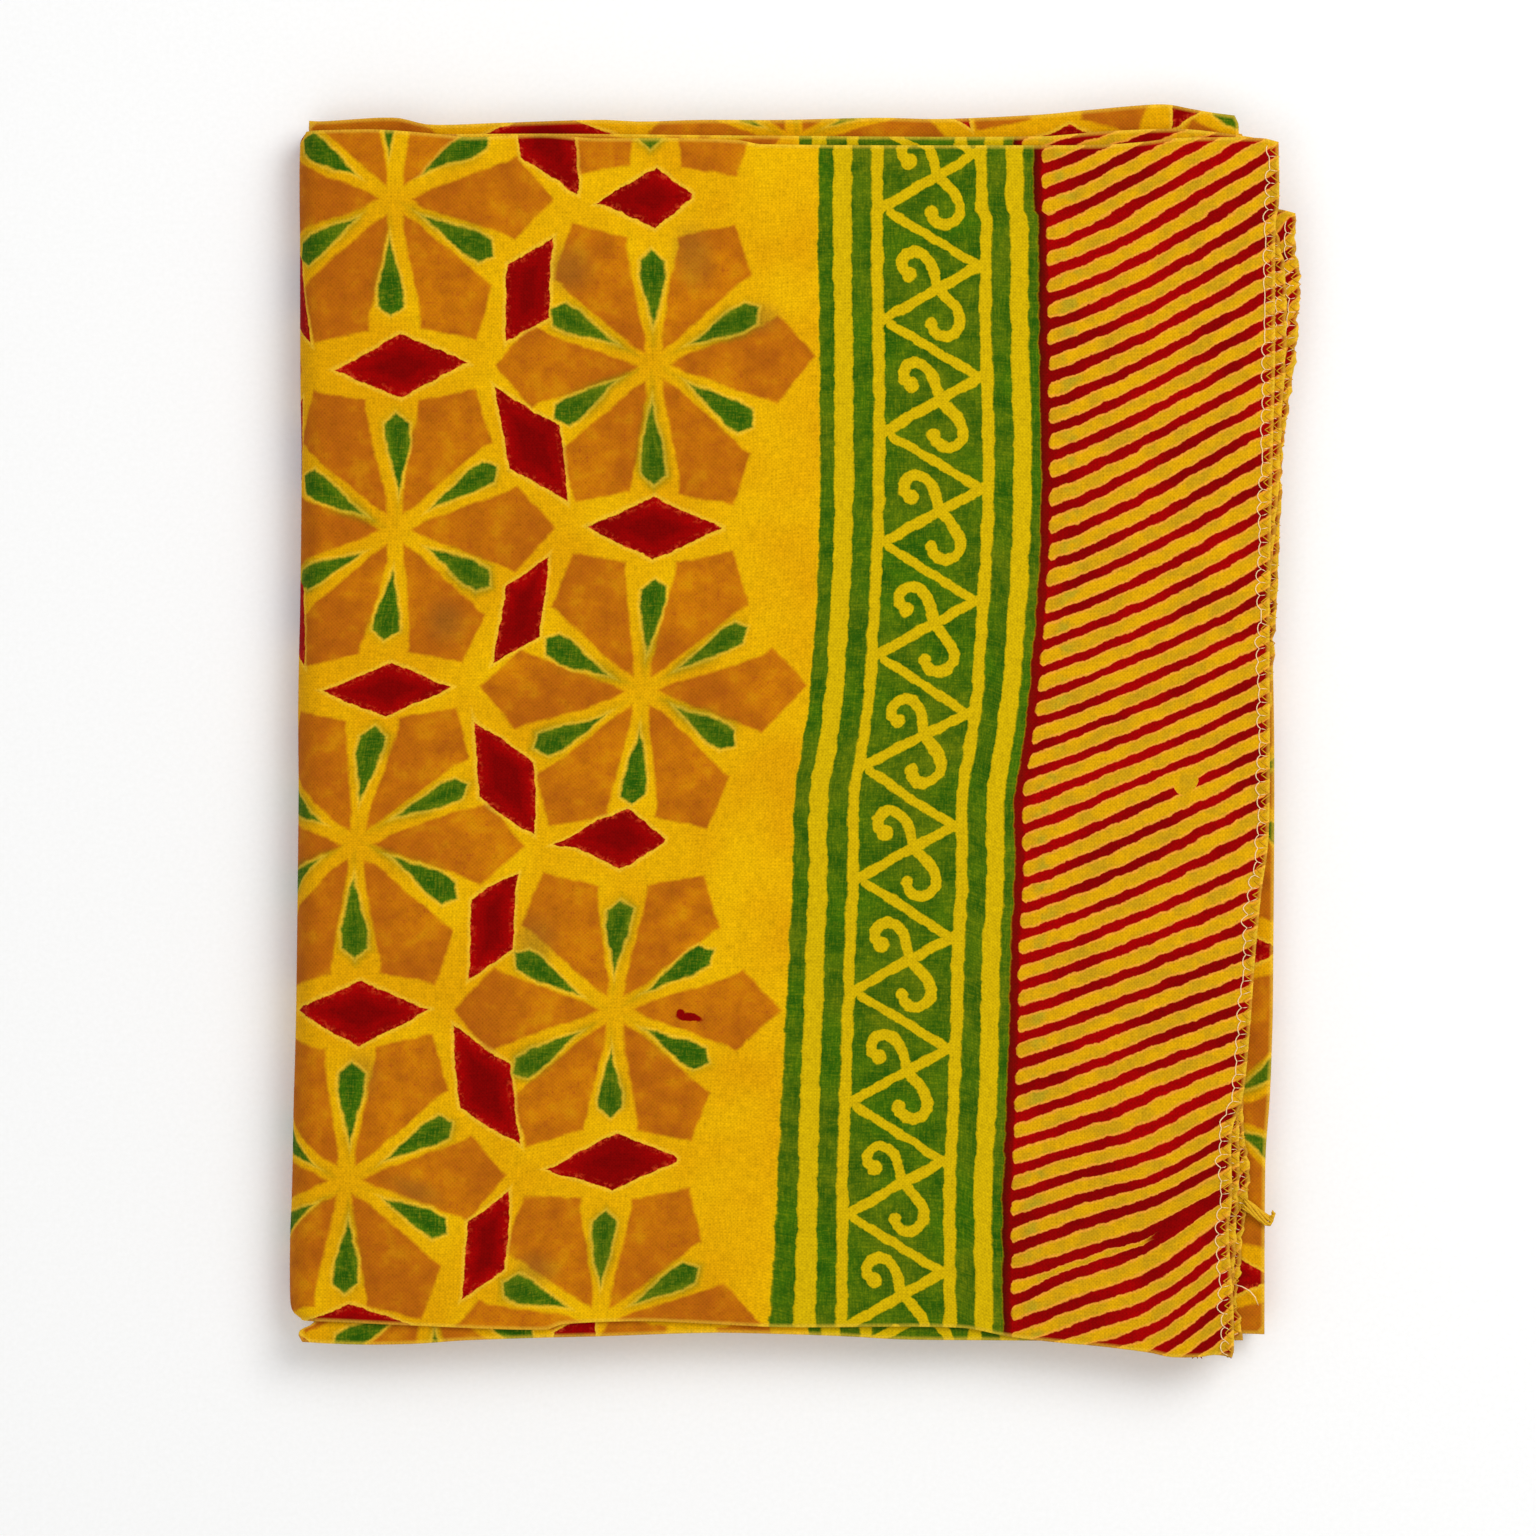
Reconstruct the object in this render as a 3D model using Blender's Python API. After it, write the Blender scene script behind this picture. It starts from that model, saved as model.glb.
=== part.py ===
"""A block-printed cotton sarong, folded flat into a packet that lies on its back.

The cloth is one length of 1.10 by 1.80 m with overlocked ends. It is folded twice across its width,
into a strip of four plies, and the strip three times along its length, into eight panels that lie on
each other. X runs across the packet, from the big left fold to the overlocked ends. Y runs up its
length, and Z up from the surface that it lies on. A solid here is one panel, or the hidden ones.

Each sheet is shaped as a slab in cloth space, where u runs from its left edge to its right one, v from
its bottom edge to its top one and f through its thickness, and each point is then laid in its place.
"""

import math
from collections import namedtuple

import bmesh
import bpy

MM = 0.001

# The cut, and the panel that the folding leaves. The rest of the sizes are in mm.
CLOTH_WIDTH = 1100.0
CLOTH_LENGTH = 1800.0
PANEL_LENGTH = CLOTH_WIDTH / 4
PANEL_WIDTH = CLOTH_LENGTH / 8

# Levels above the surface, at the middle of the packet: a panel of four plies is about 1 mm when it is
# pressed and up to 1.9 mm where it is loose. Neighbours keep a gap of 0.3 mm.
GAP = 0.3
WALL = 1.0
BACK_WALL = 1.2
HIDDEN_HEIGHT = 5.8
REAR_HEIGHT = 2.4

BACK_TOP = BACK_WALL
HIDDEN_BOTTOM = BACK_TOP + GAP
HIDDEN_TOP = HIDDEN_BOTTOM + HIDDEN_HEIGHT
REAR_BOTTOM = HIDDEN_TOP + GAP
REAR_TOP = REAR_BOTTOM + REAR_HEIGHT
THIRD_BOTTOM = REAR_TOP + GAP
THIRD_TOP = THIRD_BOTTOM + WALL
SECOND_BOTTOM = THIRD_TOP + GAP
SECOND_TOP = SECOND_BOTTOM + WALL
FRONT_BOTTOM = SECOND_TOP + GAP
FRONT_TOP = FRONT_BOTTOM + WALL

# How far the round of each big fold reaches, from its flat panel to its outermost point, and how far
# inside the left one each sheet ends, so that the sheets nest in it.
LEFT_FOLD_REACH = 6.0
RIGHT_FOLD_REACH = 3.5
SECOND_IN_FOLD = 5.6
THIRD_IN_FOLD = 3.9
REAR_IN_FOLD = 2.9
HIDDEN_IN_FOLD = 3.9
BACK_IN_FOLD = 7.6
# A leaf's round edge, as a share of its own height, and how far each hidden leaf lies back.
ROUND_SHARE = 0.5
HIDDEN_LIES_BACK = (0.4, 1.6, 0.0)
REAR_LIES_BACK = (0.5, 0.0)
EDGE_LIES_BACK = (0.0,)

Edge = namedtuple("Edge", "along out")
Wave = namedtuple("Wave", "share across up phase")
Swell = namedtuple("Swell", "share x y long wide turn")
Outline = namedtuple("Outline", "left right top bottom")

# Outlines. Each row gives a place along one edge of the panel, as a share of its half side from the
# middle, and how far in mm the cloth reaches out past the plain panel's edge there. The corners are
# the end rows of the left and right edges.
FRONT = Outline(
    left=(
        Edge(-1.002, 3.4),
        Edge(-0.960, 5.5),
        Edge(-0.796, 5.1),
        Edge(-0.457, 4.1),
        Edge(0.052, 3.7),
        Edge(0.594, 3.4),
        Edge(0.989, 3.3),
        Edge(1.015, 1.9),
    ),
    right=(
        Edge(-1.063, -10.3),
        Edge(-0.965, -10.3),
        Edge(-0.847, -11.3),
        Edge(-0.711, -10.6),
        Edge(-0.626, -8.2),
        Edge(-0.508, -6.4),
        Edge(-0.271, -3.6),
        Edge(-0.202, -2.2),
        Edge(0.476, -1.0),
        Edge(0.729, -0.5),
        Edge(0.890, 0.4),
        Edge(1.001, 0.2),
    ),
    top=(
        Edge(-0.900, 2.6),
        Edge(-0.734, 1.5),
        Edge(-0.320, 0.6),
        Edge(-0.071, -0.8),
        Edge(0.508, -1.1),
        Edge(0.798, 0.5),
    ),
    bottom=(
        Edge(-0.817, 1.0),
        Edge(-0.516, 2.2),
        Edge(-0.320, 0.1),
        Edge(-0.030, 1.5),
        Edge(0.343, 1.7),
        Edge(0.550, 5.2),
        Edge(0.736, 7.5),
        Edge(0.840, 8.5),
    ),
)
def smooth_through(rows, at):
    """The out value at a place along an edge, on a smooth curve through the edge's rows."""
    at = min(max(at, rows[0].along), rows[-1].along)
    after = next(i for i in range(1, len(rows)) if at <= rows[i].along)
    start, end = rows[after - 1], rows[after]
    span = end.along - start.along

    def slope(index):
        low, high = rows[max(index - 1, 0)], rows[min(index + 1, len(rows) - 1)]
        return (high.out - low.out) / (high.along - low.along)

    t = (at - start.along) / span
    rise = t * t * (3 - 2 * t)
    start_pull = t * (1 - t) ** 2 * slope(after - 1) * span
    end_pull = t * t * (t - 1) * slope(after) * span
    return start.out + (end.out - start.out) * rise + start_pull + end_pull


def inside_fold(inset, bottom, top):
    """The left edge of a sheet that ends inside the big left fold, from one share of its side to another."""
    between = [row.along for row in FRONT.left if bottom < row.along < top]
    places = (bottom, *between, top)
    return tuple(Edge(at, smooth_through(FRONT.left, at) - inset) for at in places)


SECOND = Outline(
    left=inside_fold(SECOND_IN_FOLD, -1.036, 1.004),
    right=(
        Edge(-1.034, -11.5),
        Edge(-0.847, -12.3),
        Edge(-0.626, -9.5),
        Edge(-0.202, -3.5),
        Edge(0.476, -1.9),
        Edge(0.996, -0.1),
    ),
    top=(
        Edge(-0.527, 1.7),
        Edge(-0.071, 1.2),
        Edge(0.508, 1.1),
        Edge(0.757, 2.8),
        Edge(0.819, 2.7),
        Edge(0.923, 1.2),
    ),
    bottom=(
        Edge(-0.879, 5.7),
        Edge(-0.516, 4.0),
        Edge(-0.164, 2.9),
        Edge(0.115, 3.8),
        Edge(0.384, 4.7),
    ),
)
THIRD = Outline(
    left=inside_fold(THIRD_IN_FOLD, -1.004, 0.975),
    right=(
        Edge(-1.036, -7.9),
        Edge(-0.965, -9.5),
        Edge(-0.844, -7.5),
        Edge(-0.745, -6.4),
        Edge(-0.643, -7.9),
        Edge(-0.271, -4.5),
        Edge(0.068, -1.5),
        Edge(0.306, 0.6),
        Edge(0.476, 1.6),
        Edge(0.645, 4.6),
        Edge(0.738, 5.5),
        Edge(0.831, 4.5),
        Edge(0.877, 4.8),
    ),
    top=(Edge(-0.533, -1.0), Edge(0.356, -1.5), Edge(0.711, -3.5), Edge(0.924, -12.5)),
    bottom=(Edge(-0.356, 1.1), Edge(0.533, 2.5), Edge(0.844, 4.7)),
)
REAR = Outline(
    left=inside_fold(REAR_IN_FOLD, -0.996, 1.036),
    right=(
        Edge(-1.026, -2.6),
        Edge(-0.711, -2.4),
        Edge(-0.457, -0.6),
        Edge(0.052, -0.9),
        Edge(0.436, -2.9),
        Edge(1.044, -9.9),
    ),
    top=(
        Edge(-0.829, 5.7),
        Edge(-0.759, 4.1),
        Edge(-0.403, 5.1),
        Edge(-0.030, 5.2),
        Edge(0.508, 6.4),
        Edge(0.736, 8.7),
        Edge(0.819, 7.9),
    ),
    bottom=(Edge(-0.356, 0.5), Edge(0.533, 2.0)),
)
HIDDEN = Outline(
    left=inside_fold(HIDDEN_IN_FOLD, -1.000, 1.011),
    right=(Edge(-1.015, -8.5), Edge(0.000, -7.0), Edge(1.018, -12.5)),
    top=(Edge(-0.444, 2.9), Edge(0.444, 2.1)),
    bottom=(Edge(-0.444, 1.1), Edge(0.444, 0.5)),
)
BACK = Outline(
    left=inside_fold(BACK_IN_FOLD, -1.008, 1.007),
    right=(Edge(-1.018, -3.5), Edge(0.000, -2.0), Edge(1.022, -7.5)),
    top=(Edge(-0.533, 2.7), Edge(0.444, 1.5)),
    bottom=(Edge(-0.533, 2.3), Edge(0.444, 1.5)),
)

# The packet's height over its middle height: slow waves all over, and soft swells and hollows. A wave's
# across and up are its lengths in mm, and a swell's long axis is turned by that many degrees from X.
WAVES = (
    Wave(share=0.030, across=190.0, up=260.0, phase=0.6),
    Wave(share=0.022, across=-330.0, up=118.0, phase=1.9),
)
SWELLS = (
    Swell(share=-0.09, x=118.0, y=30.0, long=230.0, wide=17.0, turn=90.0),
    Swell(share=0.055, x=84.0, y=-104.0, long=46.0, wide=12.0, turn=24.0),
    Swell(share=-0.050, x=80.0, y=-126.0, long=40.0, wide=10.0, turn=17.0),
    Swell(share=0.050, x=108.0, y=98.0, long=42.0, wide=13.0, turn=78.0),
    Swell(share=0.035, x=-98.0, y=-30.0, long=120.0, wide=16.0, turn=93.0),
    Swell(share=-0.030, x=-52.0, y=96.0, long=60.0, wide=20.0, turn=35.0),
    Swell(share=-0.055, x=-112.0, y=140.0, long=22.0, wide=16.0, turn=45.0),
    Swell(share=-0.055, x=-112.0, y=-140.0, long=22.0, wide=16.0, turn=-45.0),
)

# Colour in linear light, roughness.
FINISHES = {
    "front_panel": ((0.66, 0.36, 0.005), 0.92),
    "second_panel": ((0.60, 0.32, 0.005), 0.92),
    "third_panel": ((0.56, 0.26, 0.005), 0.92),
    "rear_leaf": ((0.58, 0.27, 0.005), 0.92),
    "inner_folds": ((0.52, 0.24, 0.005), 0.92),
    "back_panel": ((0.60, 0.30, 0.005), 0.92),
}


def clear_scene():
    for obj in list(bpy.data.objects):
        bpy.data.objects.remove(obj, do_unlink=True)


def blend(low, high, t):
    return low + (high - low) * t


def outline_point(outline, u, v):
    """X and Y in mm of a sheet's point, from its four edges."""
    half_width, half_length = PANEL_WIDTH / 2, PANEL_LENGTH / 2

    def corner(rows, end, sign):
        return sign * (half_width + rows[end].out), rows[end].along * half_length

    def side(rows, sign):
        at = blend(rows[0].along, rows[-1].along, v)
        return sign * (half_width + smooth_through(rows, at)), at * half_length

    def level(rows, start, end, sign):
        x = blend(start[0], end[0], u)
        ends = [Edge(point[0] / half_width, sign * point[1] - half_length) for point in (start, end)]
        out = smooth_through((ends[0], *rows, ends[1]), x / half_width)
        return x, sign * (half_length + out)

    bottom_left, top_left = (corner(outline.left, end, -1) for end in (0, -1))
    bottom_right, top_right = (corner(outline.right, end, 1) for end in (0, -1))
    left, right = side(outline.left, -1), side(outline.right, 1)
    bottom = level(outline.bottom, bottom_left, bottom_right, -1)
    top = level(outline.top, top_left, top_right, 1)
    place = []
    for axis in (0, 1):
        across = blend(left[axis], right[axis], u)
        up = blend(bottom[axis], top[axis], v)
        low = blend(bottom_left[axis], bottom_right[axis], u)
        high = blend(top_left[axis], top_right[axis], u)
        place.append(across + up - blend(low, high, v))
    return place


def height_share(x, y):
    """The packet's height at a point over its height at the middle."""
    share = 1.0
    for wave in WAVES:
        share += wave.share * math.sin(math.tau * (x / wave.across + y / wave.up) + wave.phase)
    for swell in SWELLS:
        turn = math.radians(swell.turn)
        dx, dy = x - swell.x, y - swell.y
        along = (dx * math.cos(turn) + dy * math.sin(turn)) / swell.long
        aside = (dy * math.cos(turn) - dx * math.sin(turn)) / swell.wide
        share += swell.share * math.exp(-along * along - aside * aside)
    return share


def laid(x, y, level):
    """The place in metres of a point at a level of the packet. The underside stays flat."""
    return x * MM, y * MM, level * height_share(x, y) * MM


def edge_round(f, height, lies_back):
    """How far in a slab's rim lies at f of its height: a round edge for each leaf, grooves between."""
    leaves = len(lies_back)
    leaf = min(int(f * leaves), leaves - 1)
    across = 2 * (f * leaves - leaf) - 1
    curve = 1 - math.sqrt(max(0.0, 1 - across * across))
    return lies_back[leaf] + ROUND_SHARE * (height / leaves) * curve


def rim_sign(t):
    """Which rim of the slab a point is on, along u or v: -1, 0 or 1."""
    return -1 if t < 1e-5 else 1 if t > 1 - 1e-5 else 0


def slab(columns, rows, layers, wrap_columns=0):
    """A closed slab in cloth space. The columns past u = 0 or u = 1 are for a big fold."""
    mesh = bmesh.new()
    bmesh.ops.create_grid(mesh, x_segments=columns + wrap_columns, y_segments=rows, size=0.5)
    for vert in mesh.verts:
        vert.co.x = (vert.co.x + 0.5) * (1 + wrap_columns / columns)
        vert.co.y = vert.co.y + 0.5
        vert.co.z = 0.0
    raised = bmesh.ops.extrude_face_region(mesh, geom=mesh.faces[:])
    for vert in raised["geom"]:
        if isinstance(vert, bmesh.types.BMVert):
            vert.co.z = 1.0
    upright = [edge for edge in mesh.edges if abs(edge.verts[0].co.z - edge.verts[1].co.z) > 0.5]
    if layers > 1:
        bmesh.ops.subdivide_edges(mesh, edges=upright, cuts=layers - 1, use_grid_fill=True)
    return mesh


def add_piece(name, mesh, collection):
    """Puts the finished mesh in an object of its own, with its material."""
    bmesh.ops.recalc_face_normals(mesh, faces=mesh.faces[:])
    if mesh.calc_volume(signed=True) < 0:
        bmesh.ops.reverse_faces(mesh, faces=mesh.faces[:])
    data = bpy.data.meshes.new(name)
    mesh.to_mesh(data)
    mesh.free()
    data.shade_smooth()
    data.set_sharp_from_angle(angle=math.radians(50))
    piece = bpy.data.objects.new(name, data)
    collection.objects.link(piece)
    colour, roughness = FINISHES[name]
    cloth = bpy.data.materials.new(name + "_cotton")
    cloth.use_nodes = True
    shader = cloth.node_tree.nodes["Principled BSDF"]
    shader.inputs["Base Color"].default_value = (*colour, 1.0)
    shader.inputs["Roughness"].default_value = roughness
    shader.inputs["Metallic"].default_value = 0.0
    data.materials.append(cloth)
    return piece


def flat_piece(name, outline, bottom, top, grid, lies_back, collection, steps=2):
    """A panel, or a few panels as one solid, that lies flat between two levels."""
    columns, rows = grid
    mesh = slab(columns, rows, steps * len(lies_back))
    for vert in mesh.verts:
        u, v, f = vert.co
        x, y = outline_point(outline, u, v)
        inward = edge_round(f, top - bottom, lies_back)
        x -= rim_sign(u) * inward
        y -= rim_sign(v) * inward
        vert.co = laid(x, y, blend(bottom, top, f))
    return add_piece(name, mesh, collection)


def wrapped_piece(name, outline, levels, wall, reach, grid, wrap_columns, collection):
    """A panel that goes round a big fold. Its outer face starts on the first level and ends on the
    second, and the fold is at the panel's left edge if it goes down and at its right edge if it goes up."""
    columns, rows = grid
    start, end = levels
    going = -1 if end < start else 1
    middle, half = (start + end) / 2, abs(end - start) / 2
    mesh = slab(columns, rows, 2, wrap_columns)
    for vert in mesh.verts:
        u, v, f = vert.co
        turn = math.pi * max(0.0, u - 1) / (wrap_columns / columns)
        inner = wall * f
        inward = edge_round(f, wall, EDGE_LIES_BACK)
        flat_u = min(u, 1.0)
        x, y = outline_point(outline, flat_u if going > 0 else 1 - flat_u, v)
        x -= going * (reach * flat_u - (reach - inner) * math.sin(turn))
        y -= rim_sign(v) * inward
        if u < 1e-5:
            x += going * inward
        level = middle - going * (half - inner) * math.cos(turn)
        vert.co = laid(x, y, level)
    return add_piece(name, mesh, collection)


def build():
    clear_scene()
    sarong = bpy.data.collections.new("folded_sarong")
    bpy.context.scene.collection.children.link(sarong)

    wrapped_piece("front_panel", FRONT, (FRONT_TOP, 0.0), WALL, LEFT_FOLD_REACH, (22, 24), 8, sarong)
    flat_piece("second_panel", SECOND, SECOND_BOTTOM, SECOND_TOP, (18, 20), EDGE_LIES_BACK, sarong)
    flat_piece("third_panel", THIRD, THIRD_BOTTOM, THIRD_TOP, (16, 24), EDGE_LIES_BACK, sarong)
    flat_piece("rear_leaf", REAR, REAR_BOTTOM, REAR_TOP, (20, 20), REAR_LIES_BACK, sarong, 4)
    flat_piece("inner_folds", HIDDEN, HIDDEN_BOTTOM, HIDDEN_TOP, (12, 14), HIDDEN_LIES_BACK, sarong, 4)
    wrapped_piece("back_panel", BACK, (0.0, HIDDEN_TOP), BACK_WALL, RIGHT_FOLD_REACH, (16, 14), 6, sarong)


build()
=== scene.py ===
"""The looks of a cotton sarong, block printed by hand and folded flat into a packet.

The packet lies on its back, seen from straight above. Its cloth is one length with overlocked ends. Each
panel of the folding is four plies of that cloth, and shows as a slab whose rims part into the plies' own
edges. X runs to the overlocked ends, Y up the packet and Z up from the floor. Sizes are in mm unless a
name says otherwise, and the print is worked out in mm of the flat cloth, which every sheet's UV map
holds in metres.
"""

import math
from collections import namedtuple

import bmesh
import bpy
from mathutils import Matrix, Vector, noise


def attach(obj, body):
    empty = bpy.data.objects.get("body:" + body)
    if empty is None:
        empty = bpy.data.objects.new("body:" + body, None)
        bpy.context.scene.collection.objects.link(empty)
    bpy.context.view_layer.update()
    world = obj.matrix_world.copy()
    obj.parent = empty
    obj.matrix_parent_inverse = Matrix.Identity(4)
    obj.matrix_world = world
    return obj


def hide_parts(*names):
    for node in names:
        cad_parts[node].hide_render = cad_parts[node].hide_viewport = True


bl_info = {
    "name": "Folded block-printed sarong",
    "version": (1, 0, 0),
    "blender": (4, 5, 0),
    "location": "3D View > Sidebar > Sarong",
    "description": "Dresses the folded sarong: printed plies, overlocked ends, loose thread and the stage",
    "category": "Add Mesh",
}

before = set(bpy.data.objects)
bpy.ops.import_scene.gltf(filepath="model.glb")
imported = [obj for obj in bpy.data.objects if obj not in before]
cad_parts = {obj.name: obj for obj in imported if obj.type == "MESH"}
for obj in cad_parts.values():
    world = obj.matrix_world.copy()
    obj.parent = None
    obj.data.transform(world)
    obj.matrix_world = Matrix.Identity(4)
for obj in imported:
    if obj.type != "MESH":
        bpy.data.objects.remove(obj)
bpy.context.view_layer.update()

MM = 0.001
BODY = "root"

# Levels of the panels above the floor at the middle of the packet, as in the solids.
GAP = 0.3
WALL = 1.0
HIDDEN_BOTTOM = 1.5
HIDDEN_TOP = 7.3
REAR_BOTTOM = HIDDEN_TOP + GAP
REAR_TOP = REAR_BOTTOM + 2.4
THIRD_BOTTOM = REAR_TOP + GAP
THIRD_TOP = THIRD_BOTTOM + WALL
SECOND_BOTTOM = THIRD_TOP + GAP
SECOND_TOP = SECOND_BOTTOM + WALL
FRONT_TOP = SECOND_TOP + GAP + WALL
LEFT_FOLD_REACH = 6.0
RIGHT_FOLD_REACH = 3.5
PANEL_WIDE = 220.0
PANEL_LONG = 280.0
# The lip of a ply, the flat band inside a rim, how much closer a slab's rows lie at its ends, and into
# how many layers its rim is cut.
LIP = 0.35
RIM_BAND = 1.0
CROWDING = 0.11
RIM_LAYERS = 16

Row = namedtuple("Row", "at out")
Wave = namedtuple("Wave", "share across up phase")
Swell = namedtuple("Swell", "share x y long wide turn")
Outline = namedtuple("Outline", "left right top bottom")
Rims = namedtuple("Rims", "left right top bottom")


def track(*pairs):
    """The rows of an edge or a drift, from pairs of at and out."""
    return tuple(Row(*pair) for pair in pairs)


# Outlines in mm. On a left or right edge, at is Y and out is X. On a top or bottom edge, at is X and out
# is Y. The corners are the end rows of the left and right edges.
FRONT = Outline(
    left=track(
        (-137.6, -115.4), (-135.5, -117.4), (-132.7, -118.0), (-118.7, -118.0), (-109.4, -117.6),
        (-86.1, -117.1), (-62.8, -116.6), (-16.2, -116.2), (7.1, -116.3), (30.4, -115.8), (63.0, -115.5),
        (81.7, -115.8), (112.0, -115.9), (136.4, -115.9), (139.2, -114.6),
    ),
    right=track(
        (-146.1, 102.0), (-144.8, 102.4), (-132.7, 102.2), (-116.4, 101.2), (-109.4, 101.9),
        (-93.1, 101.9), (-86.1, 104.3), (-69.8, 106.1), (-53.5, 107.3), (-37.2, 108.9), (-27.8, 110.3),
        (-16.2, 110.8), (30.4, 110.8), (65.4, 111.5), (86.3, 112.0), (118.0, 112.1), (123.0, 112.9),
        (137.2, 112.8),
    ),
    top=track(
        (-110.0, 139.9), (-105.9, 140.1), (-96.6, 140.1), (-82.6, 139.0), (-75.6, 138.3), (-58.1, 139.0),
        (-47.6, 138.1), (-26.7, 138.1), (-12.7, 137.6), (-8.0, 136.7), (57.2, 136.4), (71.2, 136.5),
        (80.5, 137.1), (89.8, 138.1), (108.9, 138.1),
    ),
    bottom=track(
        (-108.2, -137.8), (-91.9, -138.5), (-58.1, -139.6), (-54.0, -138.3), (-36.0, -137.6),
        (-22.0, -138.1), (-3.4, -139.0), (38.6, -139.2), (50.2, -141.3), (61.9, -142.7), (70.0, -143.4),
        (82.8, -145.0), (87.5, -146.0), (94.5, -146.0), (98.0, -145.5),
    ),
)
SECOND = Outline(
    left=track(
        (-142.6, -114.9), (-141.2, -115.7), (-139.8, -115.3), (-138.4, -112.6), (-135.0, -110.8),
        (0.0, -110.6), (138.8, -109.2),
    ),
    right=track(
        (-142.2, 101.2), (-138.0, 101.2), (-128.0, 102.3), (-116.4, 103.0), (-104.0, 103.7),
        (-93.1, 103.6), (-84.0, 103.4), (-60.0, 105.8), (-27.8, 109.0), (20.0, 110.2), (42.0, 111.6),
        (56.0, 112.9), (75.0, 113.8), (90.0, 114.7), (106.0, 114.5), (114.0, 113.0), (121.0, 111.4),
        (136.6, 111.4),
    ),
    top=track(
        (-59.3, 139.2), (-8.0, 138.8), (57.2, 138.6), (71.2, 139.7), (85.2, 140.3), (92.2, 140.2),
        (103.8, 138.8), (108.9, 137.9),
    ),
    bottom=track(
        (-108.0, -143.0), (-98.9, -143.2), (-87.3, -142.9), (-77.9, -142.2), (-58.1, -141.5),
        (-45.3, -141.2), (-20.0, -140.4), (-3.4, -140.7), (12.9, -141.3), (24.6, -142.0), (43.2, -142.2),
        (60.0, -142.3),
    ),
)
THIRD = Outline(
    left=track((-138.0, -111.4), (134.0, -111.0)),
    right=track(
        (-142.3, 104.5), (-138.0, 104.2), (-132.7, 103.2), (-125.7, 103.9), (-119.9, 104.5),
        (-109.4, 105.7), (-102.4, 106.1), (-97.7, 105.4), (-88.4, 104.5), (-37.2, 108.0), (9.4, 111.5),
        (18.8, 112.0), (30.4, 112.7), (42.1, 113.1), (53.7, 113.6), (65.4, 114.1), (77.0, 115.5),
        (88.7, 117.1), (95.6, 117.5), (101.5, 118.0), (107.3, 117.8), (114.3, 116.8), (119.4, 117.3),
        (120.8, 116.9),
    ),
    top=track(
        (-60.0, 136.5), (40.0, 136.0), (80.0, 134.0), (98.0, 128.0), (108.0, 122.6), (113.1, 121.7),
    ),
    bottom=track((-40.0, -138.6), (60.0, -140.0), (95.0, -142.2)),
)
REAR = Outline(
    left=track(
        (-137.0, -111.5), (0.0, -112.0), (136.0, -112.6), (141.0, -113.6), (142.5, -113.5),
    ),
    right=track(
        (-141.0, 109.8), (-109.4, 109.9), (-97.7, 110.1), (-86.1, 111.0), (-74.4, 111.5), (-62.8, 111.8),
        (7.1, 112.0), (60.0, 109.6), (138.8, 103.8), (142.4, 103.6), (143.7, 102.8),
    ),
    top=track(
        (-110.5, 142.4), (-93.3, 143.2), (-85.4, 141.6), (-68.6, 142.0), (-45.3, 142.7), (-36.0, 142.3),
        (-22.0, 142.7), (-3.4, 142.7), (19.9, 143.2), (33.9, 142.9), (57.2, 143.9), (68.9, 145.0),
        (82.8, 146.2), (87.5, 146.2), (92.2, 145.3), (98.0, 144.3),
    ),
    bottom=track((-40.0, -138.0), (60.0, -139.5)),
)
HIDDEN = Outline(
    left=track((-137.5, -112.8), (139.0, -111.6)),
    right=track((-139.5, 104.6), (0.0, 106.4), (140.0, 101.0)),
    top=track((-50.0, 140.4), (50.0, 139.6)),
    bottom=track((-50.0, -138.6), (50.0, -138.0)),
)
BACK_RIGHT = track((-140.0, 109.0), (0.0, 110.5), (140.5, 105.0))
BACK_BOTTOM = -139.2
BACK_TOP = 139.8

# The outer cloth's columns over the top, the left fold, the underside and the right fold, and its rows.
OUTER_COLUMNS = (150, 22, 40, 12)
OUTER_ROWS = 172
# How far in from a raw end its frill reaches, and the size of the frill's waves.
FRILL_REACH = 7.0
FRILL_SIZE = 1.7

# The packet's height over its middle height: slow waves all over, and soft swells and hollows, as in
# the solids. A wave's across and up are its lengths, and a swell's long axis is turned from X.
WAVES = (
    Wave(share=0.030, across=190.0, up=260.0, phase=0.6),
    Wave(share=0.022, across=-330.0, up=118.0, phase=1.9),
)
SWELLS = (
    Swell(share=-0.09, x=118.0, y=30.0, long=230.0, wide=17.0, turn=90.0),
    Swell(share=0.055, x=84.0, y=-104.0, long=46.0, wide=12.0, turn=24.0),
    Swell(share=-0.050, x=80.0, y=-126.0, long=40.0, wide=10.0, turn=17.0),
    Swell(share=0.050, x=108.0, y=98.0, long=42.0, wide=13.0, turn=78.0),
    Swell(share=0.035, x=-98.0, y=-30.0, long=120.0, wide=16.0, turn=93.0),
    Swell(share=-0.030, x=-52.0, y=96.0, long=60.0, wide=20.0, turn=35.0),
    Swell(share=-0.055, x=-112.0, y=140.0, long=22.0, wide=16.0, turn=45.0),
    Swell(share=-0.055, x=-112.0, y=-140.0, long=22.0, wide=16.0, turn=-45.0),
)
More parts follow.
